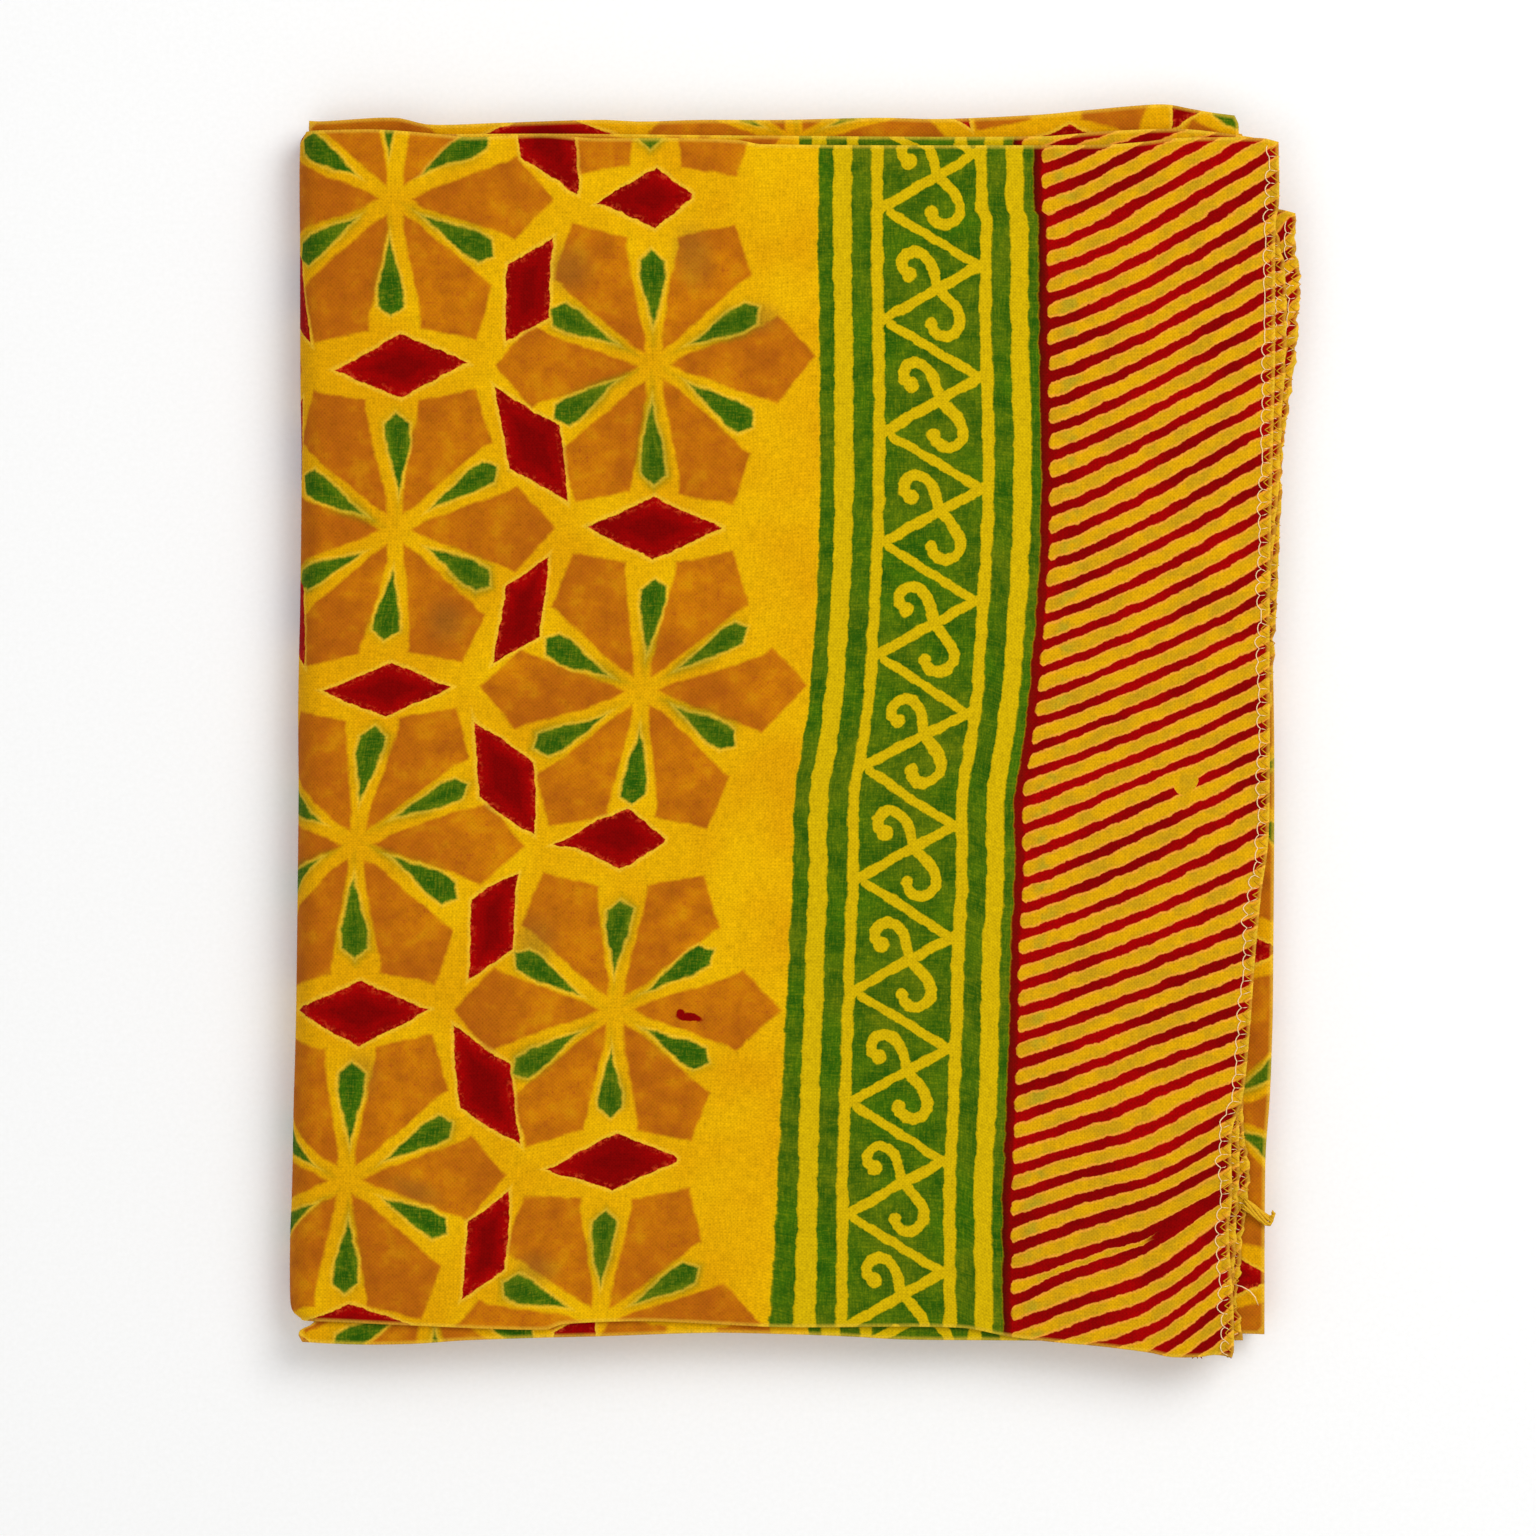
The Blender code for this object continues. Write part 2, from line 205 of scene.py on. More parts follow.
# Small creases that the solids leave out.
CREASES = (
    Swell(share=0.012, x=92.0, y=-98.0, long=16.0, wide=3.0, turn=28.0),
    Swell(share=-0.014, x=88.0, y=-112.0, long=18.0, wide=3.4, turn=22.0),
    Swell(share=0.012, x=78.0, y=-132.0, long=20.0, wide=3.6, turn=14.0),
    Swell(share=-0.012, x=97.0, y=-84.0, long=12.0, wide=2.8, turn=40.0),
    Swell(share=0.010, x=40.0, y=-134.0, long=30.0, wide=4.0, turn=4.0),
    Swell(share=-0.010, x=-60.0, y=-134.5, long=26.0, wide=3.2, turn=-5.0),
    Swell(share=0.010, x=-90.0, y=134.0, long=18.0, wide=3.0, turn=-8.0),
    Swell(share=0.011, x=-20.0, y=-14.0, long=70.0, wide=5.0, turn=3.0),
    Swell(share=-0.010, x=50.0, y=-8.0, long=60.0, wide=5.5, turn=-4.0),
    Swell(share=-0.011, x=104.0, y=48.0, long=20.0, wide=3.2, turn=84.0),
    Swell(share=0.010, x=-107.0, y=60.0, long=30.0, wide=3.0, turn=88.0),
)

# How far the hand-placed print drifts from its plain layout, by Y. Out is in mm to the right or up.
DRIFT_LEFT_ROSETTES = track(
    (-140.0, -12.4), (-105.2, -11.4), (-70.0, -9.6), (-26.2, -8.4), (5.0, -4.2), (30.0, -0.8),
    (46.7, 0.0), (140.0, 0.0),
)
DRIFT_RIGHT_ROSETTES = track(
    (-140.0, -12.8), (-100.0, -11.0), (-64.7, -9.1), (-30.0, -6.6), (9.2, -2.6), (40.0, -0.6),
    (85.2, -0.2), (140.0, 0.0),
)
DRIFT_BORDER = track(
    (-146.0, -8.5), (-109.4, -8.2), (-86.1, -7.5), (-51.1, -6.5), (-34.8, -5.6), (-20.0, -5.5),
    (-13.0, -5.2), (-6.9, -4.1), (7.1, -2.3), (18.8, -1.4), (39.7, 0.0), (65.4, 0.4), (100.0, 0.0),
    (140.0, 0.0),
)
RISE_LEFT_ROSETTES = track(
    (-140.0, -2.0), (-105.2, -2.6), (-26.2, 0.7), (46.7, -2.1), (124.5, 0.0), (140.0, 0.0),
)
RISE_RIGHT_ROSETTES = track(
    (-137.6, 2.9), (-64.7, 0.1), (9.2, -1.7), (85.2, -1.5), (140.0, 0.0),
)

# Where one column's drift gives way to the next, and the rosettes' print to the border's, in X.
COLUMNS_MEET = (-80.0, -45.0)
BORDER_BEGINS = (-12.0, 4.0)
# The border's top block lies this far left of the next. The two meet at a height, right of a place.
TOP_BLOCK_LEFT = 1.0
TOP_BLOCK_MEETS = (119.8, 121.2)
TOP_BLOCK_STARTS = (38.0, 42.0)

# The rosettes: hubs on a lattice of staggered columns, the first at the origin. Each has six petals and
# six drops on its rays, and neighbours meet at red rhombi, printed by a block of their own.
ROSETTE_ORIGIN = (-93.3, 124.5)
ROSETTE_ACROSS = 60.6
ROSETTE_UP = 75.7
LAST_COLUMN = 75.0
Slanted = namedtuple("Slanted", "centre normals halves")
FALLING_RHOMBUS = Slanted((30.3, 18.9), ((0.991, 0.132), (0.528, 0.849)), (6.6, 7.2))
RISING_RHOMBUS = Slanted((-30.3, 18.9), ((1.0, 0.0), (-0.546, 0.838)), (5.1, 7.6))
LEVEL_RHOMBUS = (15.8, 6.7)
RHOMBI_SHIFT = (-1.4, 0.0, 0.0)

# The petals fill a star that its reach and flare give, less the rays, whose half width grows from one
# place to another. A drop has a point, straight sides and a blunt end.
STAR_REACH = 28.4
STAR_FLARE = 0.2075
RAY_WIDENS = (7.0, 27.5, 2.0, 5.9)
DROP_POINT = (0.25, -2.4)
DROP_HALF = 2.75
DROP_END = (-0.85, 22.7, -0.7)
# Every second rhombus of the last column was printed short: their pitch up, where one is, how far right
# they end at the middle, and how much that swings.
SHORT_PITCH = 73.5
SHORT_FROM = 122.5
SHORT_END = -20.2
SHORT_SWING = -3.8

# The level rhombi: the cosine of their sides' slant, and the side that cuts them at the right, as its
# normal and its place.
LEVEL_SLANT = 0.92
RIGHT_CUT = (0.57, 0.82, 0.35)
# How wide the ink's thin and thick places are: broad changes, patches, and specks. Blocks are placed
# unevenly over a wider distance.
BROAD, PATCHY, SPECK, BLOCK_SLIP = 24.0, 6.5, 1.3, 42.0

# The border's bands, from the rosettes' side to the stripes: where each starts and its colour.
Band = namedtuple("Band", "start ink")
BANDS = (
    Band(5.6, "green"), Band(9.1, "yellow"), Band(13.4, "green"), Band(18.0, "yellow"),
    Band(20.6, "green"), Band(43.2, "yellow"), Band(46.0, "green"), Band(50.4, "yellow"),
    Band(54.6, "green"), Band(56.9, "maroon"), Band(59.0, "ground"),
)
FIELD_LEFT = 20.6
FIELD_MIDDLE = 11.0
FIELD_HALF = 13.0
RED_LINE_RIGHT = 58.7
SCROLL_PITCH = 26.1
SCROLL_PHASE = 95.7
SCROLL_TOPS = (19.6, 4.4)

# The scroll in one pitch, from the zigzag's left point: strokes through points, with half widths.
Stroke = namedtuple("Stroke", "half points")
RISING_ARM = Stroke(1.2, ((-0.6, 0.0), (10.0, 6.1), (22.8, 13.1)))
FALLING_ARM = Stroke(1.05, ((1.6, -0.9), (23.0, -13.8)))
SCROLL = Stroke(
    1.25,
    (
        (6.3, 10.8), (4.5, 12.2), (4.3, 13.9), (5.4, 15.6), (7.2, 16.3), (9.2, 15.6), (10.8, 13.8),
        (11.8, 11.4), (12.4, 8.9), (13.4, 6.9), (15.4, 4.9), (17.0, 2.8), (18.0, 0.7), (17.9, -1.3),
        (16.7, -2.9), (14.8, -3.7), (12.8, -3.4), (11.6, -2.2),
    ),
)
SCROLL_BLOBS = ((6.1, 10.9, 1.8), (11.1, -0.7, 1.5))

STRIPE_PITCH = 6.07
STRIPE_HALF = 1.34
STRIPE_SLOPE = 0.41
STRIPE_PHASE = 131.4
# By the line the stripes start lower, and settle over a distance.
STRIPE_START_DROP = 1.2
STRIPE_SETTLES = 9.0
# The gap whose stripes run together, how far round it they lean, and the places where they lean more.
MERGING_GAP = -42.5 * STRIPE_PITCH
MERGING_REACH = 4.0
MERGING_LEANS = ((0.0, 12.0, 0.0, 0.65), (24.0, 46.0, 0.0, 1.0))
# Where up the border the red ink was scant, and how far from there it was fully so and not at all.
SCANT_UP = -4.5
SCANT_REACH = (30.0, 110.0)
# How much more the stripes climb at the right edge than their even slope, by Y.
STRIPE_CLIMB = track(
    (-146.0, 4.4), (-122.0, 4.6), (-112.0, 4.2), (-105.0, 2.6), (-96.0, 0.8), (-88.0, 0.0), (-55.0, -0.8),
    (-30.0, 1.0), (-22.0, 1.7), (9.0, 2.6), (30.0, 3.1), (47.0, 3.9), (98.0, 3.7), (118.0, 4.6),
    (140.0, 5.8),
)
# How far the stripes lie above their even pitch at the red line, by Y.
STRIPE_RISE = track(
    (-146.0, -3.4), (-109.0, -3.3), (-70.0, -2.7), (-40.0, -3.0), (-8.0, -2.4), (27.0, -2.4),
    (50.0, -1.9), (72.0, -0.5), (140.0, -0.5),
)

STRIPES_WIDE = 44.0
# At the lower right corner the stripes level out, right of the line, and then climb.
Dip = namedtuple("Dip", "deep past wide top bottom")
CORNER_DIP = Dip(deep=3.7, past=34.0, wide=15.0, top=-78.0, bottom=-104.0)

# Slips of the hand: blots of ink, and one place where a stripe's ink is missing.
Blot = namedtuple("Blot", "x y long wide turn")
RED_BLOTS = (
    Blot(-15.4, -67.0, 3.2, 1.0, -9.0), Blot(-17.3, -66.2, 1.2, 1.1, 0.0),
    Blot(100.5, -110.9, 11.0, 1.3, 21.0),
)
# Red rhombi that were set down askew: where their plain place is, and how far right and up they lie.
Slip = namedtuple("Slip", "x y right up")
RED_SLIPS = (
    Slip(-63.0, 143.4, 2.5, -4.6), Slip(-63.0, 105.5, 0.2, -1.6), Slip(-63.0, -8.0, 0.5, -4.2),
    Slip(-63.0, -83.7, 0.3, 2.2), Slip(-63.0, -121.6, 1.2, 3.4), Slip(-93.3, -140.4, 0.0, 2.8),
    Slip(-32.7, -26.9, -2.0, 2.5),
)
# A slip moves all within the second distance from its place, and nothing past the first.
SLIP_REACH = (24.0, 15.0)
# Brown stains.
STAINS = (
    Blot(-23.5, 111.5, 4.0, 6.0, 10.0), Blot(-7.6, 97.0, 3.6, 2.8, 0.0),
    Blot(-52.7, 108.7, 5.0, 4.5, 0.0), Blot(-52.0, -49.0, 4.0, 5.0, 0.0),
    Blot(-91.0, -79.0, 3.4, 4.4, 0.0), Blot(-77.0, -104.5, 5.5, 2.2, -22.0),
    Blot(-48.0, -126.0, 4.4, 3.0, -30.0), Blot(-80.0, 27.0, 3.6, 4.6, 20.0),
)
BARE_SPOTS = (Blot(96.4, -11.7, 2.6, 1.9, 26.0),)

# The overlock: how far in from the raw end its needle goes in, how high its threads lie on the cloth,
# their radii, and where each raw end's overlock starts and stops.
NEEDLE_INSET = 2.35
NEEDLE_ABOVE = 0.16
NEEDLE_RADIUS = 0.12
PULL_RADIUS = 0.09
LOOPER_RADIUS = 0.15
RAW_ENDS = (
    ("front", FRONT, FRONT_TOP, -145.2, 136.6, 1.0),
    ("second", SECOND, SECOND_TOP, -141.0, 118.0, 2.0),
    ("third", THIRD, THIRD_TOP, -141.0, 119.5, 3.0),
)
# The tuft lies on the rear leaf, over its edge, and curls back at its end.
TUFT_SPINE = (
    (104.6, -110.2, 11.9), (105.8, -110.9, 11.8), (107.2, -112.0, 11.3), (108.7, -113.2, 11.0),
    (110.1, -114.2, 10.8), (111.2, -114.4, 10.7), (111.7, -113.6, 10.9), (111.2, -112.9, 11.2),
)
TUFT_STRANDS = 7
TUFT_RADIUS = 0.36
# The loose thread, with its height above the third panel.
LOOSE_THREAD = (
    (102.6, -129.2, 0.3), (104.4, -129.7, 0.3), (106.2, -130.7, 0.1), (107.5, -132.2, -0.3),
    (108.3, -134.2, -0.8),
)
LOOSE_RADIUS = 0.13
# The frayed threads: where across each one is, and how far its tip leans.
FRAYED_THREADS = ((93.2, -0.5), (93.8, 0.2), (94.5, 0.5), (101.4, 0.4))
FRAYED_RADIUS = 0.2
# The photo's side in pixels, one pixel's size at the packet's top, and what the camera is over.
PHOTO_SIDE = 1536
PIXEL = 0.233
CAMERA_OVER = (-6.2, -8.7)

SMOOTH = {"interpolation_type": "SMOOTHSTEP"}
INKS = {
    "yellow": "#E5B002",
    "yellow_deep": "#DA9C02",
    "yellow_border": "#CFAC04",
    "ground": "#D9A206",
    "ground_deep": "#B98A12",
    "show_through": "#A39A22",
    "orange": "#D07C05",
    "orange_deep": "#B8640A",
    "orange_brown": "#9E500C",
    "stain": "#86561A",
    "red": "#A30202",
    "red_deep": "#740101",
    "red_fringe": "#C8401A",
    "stripe_fringe": "#EC9A34",
    "maroon": "#6E0D03",
    "maroon_deep": "#400B01",
    "red_line": "#860202",
    "green": "#3F6A06",
    "green_deep": "#1F5206",
    "green_olive": "#5C6E08",
    "pale_edge": "#EFC53A",
    "needle_thread": "#FFDDA6",
    "looper_thread": "#D29A14",
    "yarn": "#E0AC1C",
    "red_yarn": "#8A1010",
    "floor": "#F7F7F6",
}


def linear(hex_colour):
    """An sRGB hex colour as linear red, green, blue and alpha."""
    channels = [int(hex_colour[i:i + 2], 16) / 255 for i in (1, 3, 5)]
    return [c / 12.92 if c <= 0.04045 else ((c + 0.055) / 1.055) ** 2.4 for c in channels] + [1.0]


def smooth_through(rows, at):
    """The out value at a place along an edge, on a smooth curve through the edge's rows."""
    at = min(max(at, rows[0].at), rows[-1].at)
    after = next(i for i in range(1, len(rows)) if at <= rows[i].at)
    start, end = rows[after - 1], rows[after]
    span = end.at - start.at

    def slope(index):
        low, high = rows[max(index - 1, 0)], rows[min(index + 1, len(rows) - 1)]
        return (high.out - low.out) / (high.at - low.at)

    t = (at - start.at) / span
    rise = t * t * (3 - 2 * t)
    start_pull = t * (1 - t) ** 2 * slope(after - 1) * span
    end_pull = t * t * (t - 1) * slope(after) * span
    return start.out + (end.out - start.out) * rise + start_pull + end_pull


def blend(low, high, t):
    return low + (high - low) * t


def ramp(low, high, at):
    """0 below low, 1 above high, smooth between."""
    t = min(max((at - low) / (high - low), 0.0), 1.0)
    return t * t * (3 - 2 * t)


def outline_point(outline, u, v):
    """X and Y of a sheet's point, from its four edges."""
    corners = [(edge[end].out, edge[end].at) for edge in (outline.left, outline.right) for end in (0, -1)]
    bottom_left, top_left, bottom_right, top_right = corners

    def side(rows):
        y = blend(rows[0].at, rows[-1].at, v)
        return smooth_through(rows, y), y

    def level(rows, start, end):
        x = blend(start[0], end[0], u)
        return x, smooth_through((Row(*start), *rows, Row(*end)), x)

    left, right = side(outline.left), side(outline.right)
    bottom = level(outline.bottom, bottom_left, bottom_right)
    top = level(outline.top, top_left, top_right)
    place = []
    for axis in (0, 1):
        across = blend(left[axis], right[axis], u)
        up = blend(bottom[axis], top[axis], v)
        low = blend(bottom_left[axis], bottom_right[axis], u)
        high = blend(top_left[axis], top_right[axis], u)
        place.append(across + up - blend(low, high, v))
    return place


def height_share(x, y):
    """The packet's height at a point over its height at the middle."""
    share = 1.0
    for wave in WAVES:
        share += wave.share * math.sin(math.tau * (x / wave.across + y / wave.up) + wave.phase)
    for swell in SWELLS + CREASES:
        turn = math.radians(swell.turn)
        dx, dy = x - swell.x, y - swell.y
        along = (dx * math.cos(turn) + dy * math.sin(turn)) / swell.long
        aside = (dy * math.cos(turn) - dx * math.sin(turn)) / swell.wide
        share += swell.share * math.exp(-along * along - aside * aside)
    return share


def drift(x, y):
    """How far the print at a point of the front has drifted, right and up."""
    between = ramp(*COLUMNS_MEET, x)
    to_border = ramp(*BORDER_BEGINS, x)
    left, right = smooth_through(DRIFT_LEFT_ROSETTES, y), smooth_through(DRIFT_RIGHT_ROSETTES, y)
    across = blend(blend(left, right, between), smooth_through(DRIFT_BORDER, y), to_border)
    rise = blend(smooth_through(RISE_LEFT_ROSETTES, y), smooth_through(RISE_RIGHT_ROSETTES, y), between)
    across -= TOP_BLOCK_LEFT * ramp(*TOP_BLOCK_MEETS, y) * ramp(*TOP_BLOCK_STARTS, x)
    past_line = max(0.0, x - across - RED_LINE_RIGHT)
    climb = smooth_through(STRIPE_CLIMB, y) * (past_line / STRIPES_WIDE) ** 1.4
    from_dip = (past_line - CORNER_DIP.past) / CORNER_DIP.wide
    climb -= ramp(CORNER_DIP.top, CORNER_DIP.bottom, y) * CORNER_DIP.deep * math.exp(-from_dip ** 2)
    starts = ramp(RED_LINE_RIGHT - 14.0, RED_LINE_RIGHT - 3.0, x - across)
    climb += smooth_through(STRIPE_RISE, y) * starts
    return across, rise * (1 - to_border) + climb


def slab(columns, rows):
    """A closed slab in cloth space: X counts columns, Y runs from 0 to 1 and Z from 0, outside, to 1.
    Its rows lie closer at both ends."""
    mesh = bmesh.new()
    bmesh.ops.create_grid(mesh, x_segments=columns, y_segments=rows, size=0.5)
    for vert in mesh.verts:
        v = vert.co.y + 0.5
        vert.co = ((vert.co.x + 0.5) * columns, v - CROWDING * math.sin(math.tau * v), 0.0)
    raised = bmesh.ops.extrude_face_region(mesh, geom=mesh.faces[:])
    for vert in raised["geom"]:
        if isinstance(vert, bmesh.types.BMVert):
            vert.co.z = 1.0
    upright = [edge for edge in mesh.edges if abs(edge.verts[0].co.z - edge.verts[1].co.z) > 0.5]
    bmesh.ops.subdivide_edges(mesh, edges=upright, cuts=RIM_LAYERS - 1, use_grid_fill=True)
    return mesh


def rim_inset(f, plies, along, seed):
    """How far in a rim lies at f of its height. Each ply ends in a round lip, and lies back unevenly."""
    count = len(plies)
    ply = min(int(f * count + 1e-6), count - 1)
    across = 2 * (f * count - ply) - 1
    lip = LIP * (1 - math.sqrt(max(0.0, 1 - across * across)))
    uneven = 0.0 if ply == 0 else 0.4 * (1 + noise.noise(Vector((along / 13.0, ply * 7.3, seed))))
    return plies[ply] + lip + uneven


def new_piece(name, mesh, material):
    data = bpy.data.meshes.new(name)
    mesh.to_mesh(data)
    mesh.free()
    data.materials.append(material)
    piece = bpy.data.objects.new(name, data)
    bpy.context.scene.collection.objects.link(piece)
    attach(piece, BODY)
    return piece


def sheet_piece(name, mesh, place, material):
    """Lays a slab by place(u, v, f), which gives the point, its place on the flat cloth and how far from
    the panel's rim it is, all in mm."""
    cloth = mesh.loops.layers.uv.new("cloth")
    from_rim = mesh.verts.layers.float.new("from_rim")
    laid = {vert: place(*vert.co) for vert in mesh.verts}
    for face in mesh.faces:
        face.smooth = True
        for loop in face.loops:
            loop[cloth].uv = [value * MM for value in laid[loop.vert][1]]
    for vert, (point, _, rim) in laid.items():
        vert.co = [value * MM for value in point]
        vert[from_rim] = rim
    bmesh.ops.recalc_face_normals(mesh, faces=mesh.faces[:])
    if mesh.calc_volume(signed=True) < 0:
        bmesh.ops.reverse_faces(mesh, faces=mesh.faces[:])
    return new_piece(name, mesh, material)


def rim_sides(u, columns, v):
    """Which rims a slab's point lies on, across and up: -1, 0 or 1 each."""
    across = -1 if u < 1e-4 else 1 if u > columns - 1e-4 else 0
    up = -1 if v < 1e-5 else 1 if v > 1 - 1e-5 else 0
    return across, up


def inside_rims(t, on_rim, length):
    """Moves a share of a length in from both rims, so that only the rims' own points are on them."""
    return t if on_rim else blend(RIM_BAND / length, 1 - RIM_BAND / length, t)


def flat_sheet(name, outline, levels, grid, rims, print_at, seed, frill=0.0):
    """A panel that lies between two levels. Its print is where print_at(x, y) says, and its right end is
    frilled by the overlock, frill mm in and out."""
    columns, rows = grid
    bottom, top = levels

    def place(u, v, f):
        across, up = rim_sides(u, columns, v)
        t = u / columns
        t = inside_rims(t - CROWDING * math.sin(math.tau * t), across, PANEL_WIDE)
        v = inside_rims(v, up, PANEL_LONG)
        x, y = outline_point(outline, t, v)
        down = (top - bottom) * f
        cloth_x, cloth_y = print_at(x, y)
        cloth = (cloth_x + across * down, cloth_y + up * down)
        from_end = (1 - t) * PANEL_WIDE
        from_rim = min(t * PANEL_WIDE, from_end, v * PANEL_LONG, (1 - v) * PANEL_LONG)
        pulled = frill * ramp(FRILL_REACH, 0.0, from_end)
        lump = noise.noise(Vector((y / FRILL_SIZE, seed, down)))
        x += pulled * lump
        if across:
            x -= across * rim_inset(f, rims.left if across < 0 else rims.right, y, seed)
        if up:
            y -= up * rim_inset(f, rims.bottom if up < 0 else rims.top, x, seed + 3)
        return (x, y, (top - down) * height_share(x, y) + 0.4 * pulled * lump), cloth, from_rim

    return sheet_piece(name, slab(columns, rows), place, cloth_material())


def second_print(x, y):
    """Where the second panel's print is. Its rosettes and its border were printed apart."""
    to_border = ramp(*BORDER_BEGINS, x)
    across = blend(-8.4, blend(2.7, 5.8, (y + PANEL_LONG / 2) / PANEL_LONG), to_border)
    return x + across, y + blend(28.4, 4.0, to_border)


def third_print(x, y):
    """Where the third panel's print is. Its raw end is crumpled, so that the stripes bend."""
    bend = ramp(104.0, 118.0, x) * noise.noise(Vector((x / 6.0, y / 9.0, 4.0)))
    return x + 2.0 + 2.0 * bend, y + 3.0 + 3.4 * bend - 0.5 * (x - 110.0)


def rear_print(x, y):
    """Where the rear leaf's print is: rosettes all over, a little turned, and askew towards the bottom."""
    low = ramp(70.0, -30.0, y)
    return x - 275.7 + 25.5 * low, y + 23.8 - 5.0 * low + 0.031 * (x + 60.0)


def strand_piece(name, paths, material):
    """Threads as tubes along paths of points in mm, each path with its radius."""
    mesh = bmesh.new()
    sides = 6
    for radius, points in paths:
        steps = len(points) - 1
        made = bmesh.ops.create_grid(mesh, x_segments=steps, y_segments=sides, size=0.5)
        for vert in made["verts"]:
            index = round((vert.co.x + 0.5) * steps)
            angle = math.tau * (vert.co.y + 0.5)
            ahead = Vector(points[min(index + 1, steps)]) - Vector(points[max(index - 1, 0)])
            aside = ahead.cross(Vector((0.0, 0.0, 1.0))).normalized()
            above = aside.cross(ahead).normalized()
            taper = 0.35 if index in (0, steps) else 1.0
            outward = math.cos(angle) * aside + math.sin(angle) * above
            vert.co = (Vector(points[index]) + radius * taper * outward) * MM
    bmesh.ops.remove_doubles(mesh, verts=mesh.verts[:], dist=1e-7)
    bmesh.ops.holes_fill(mesh, edges=mesh.edges[:], sides=sides)
    bmesh.ops.recalc_face_normals(mesh, faces=mesh.faces[:])
    for face in mesh.faces:
        face.smooth = True
    return new_piece(name, mesh, material)


def overlock_paths(edge, level, low, high, seed):
    """The overlock of a raw end from low to high: the needle's thread, in arcs from hole to hole, its
    short pulls towards the end, and the loopers' thread that wraps the end."""
    pitch = bpy.context.scene.sarong.stitch_length / MM
    stitches = round((high - low) / pitch)
    needle, looper, pulls = [], [], []

    def on_cloth(inset, y, above):
        x = smooth_through(edge, y) - inset
        return x, y, level * height_share(x, y) + above

    for stitch in range(stitches):
        wild = noise.noise(Vector((stitch * 0.63, seed, 0.5)))
        wilder = noise.noise(Vector((stitch * 0.41, seed, 7.5)))
        start = low + pitch * stitch
        for step in range(6):
            s = step / 6
            arc = math.sin(math.pi * s) ** 0.8
            y = start + pitch * (s + 0.12 * wilder * math.sin(math.tau * s))
            inset = NEEDLE_INSET + 0.5 * wilder + arc * (0.75 + 1.1 * wild)
            needle.append(on_cloth(inset, y, NEEDLE_ABOVE))
            reach = abs(2 * s - 1)
            looper.append(on_cloth(-0.1 + 2.1 * (1 - reach), y + 0.5 * wild, 0.06 - 0.5 * (reach > 0.9)))
        hole = on_cloth(NEEDLE_INSET, start, NEEDLE_ABOVE)
        tip = on_cloth(0.9 + 0.8 * wild, start + 1.2 * wilder, 0.22)
        pulls.append((PULL_RADIUS, [hole, on_cloth(1.6, start + 0.5 * wilder, 0.3), tip]))
    return needle, looper, pulls


def put(tree, kind, *values, **settings):
    """Adds a node and gives back its first output in use. Values go to its inputs in use, in order, as
    numbers or as the sockets that feed them, and None leaves an input as it is."""
    made = tree.nodes.new("ShaderNode" + kind)
    for setting, value in settings.items():
        setattr(made, setting, value)
    for socket, value in zip([socket for socket in made.inputs if socket.enabled], values):
        if isinstance(value, bpy.types.NodeSocket):
            tree.links.new(value, socket)
        elif value is not None:
            socket.default_value = value
    return next(socket for socket in made.outputs if socket.enabled)


def new_group(name, takes, gives):
    """An empty node group, its own inputs and its own outputs. Takes and gives hold the sockets' kinds."""
    tree = bpy.data.node_groups.new(name, "ShaderNodeTree")
    for way, sockets in (("INPUT", takes), ("OUTPUT", gives)):
        for socket, kind in sockets.items():
            tree.interface.new_socket(socket, in_out=way, socket_type="NodeSocket" + kind)
    entry = tree.nodes.new("NodeGroupInput").outputs
    return tree, entry, tree.nodes.new("NodeGroupOutput").inputs


def layered(tree, base, *layers):
    """A base colour with inks laid over it in order, each by its share. An ink is the name of one of
    INKS, or a socket that gives a colour."""
    for share, ink in layers:
        colour = linear(INKS[ink]) if isinstance(ink, str) else ink
        base = put(tree, "Mix", share, base, colour, data_type="RGBA")
    return base


def rosette_cell_group():
    """The place from the nearest hub, and how far that hub is from the first column."""
    gives = {"local": "Vector", "column": "Float"}
    tree, entry, leave = new_group("rosette_cell", {"place": "Vector"}, gives)
    half = (ROSETTE_ACROSS, ROSETTE_UP / 2, 1.0)
    low = [-size for size in half]
    start = put(tree, "VectorMath", entry[0], (*ROSETTE_ORIGIN, 0.0), operation="SUBTRACT")
    cells = []
    for offset in ((0.0, 0.0, 0.0), (ROSETTE_ACROSS, ROSETTE_UP / 2, 0.0)):
        cell = put(tree, "VectorMath", start, offset, operation="SUBTRACT")
        cells.append(put(tree, "VectorMath", cell, half, low, operation="WRAP"))
    even, odd = [put(tree, "VectorMath", cell, operation="LENGTH") for cell in cells]
    odd_nearer = put(tree, "Math", odd, even, operation="LESS_THAN")
    local = put(tree, "Mix", odd_nearer, *cells, data_type="VECTOR")
    column = put(tree, "VectorMath", start, local, operation="SUBTRACT")
    tree.links.new(local, leave[0])
    tree.links.new(put(tree, "SeparateXYZ", column), leave[1])
    return tree


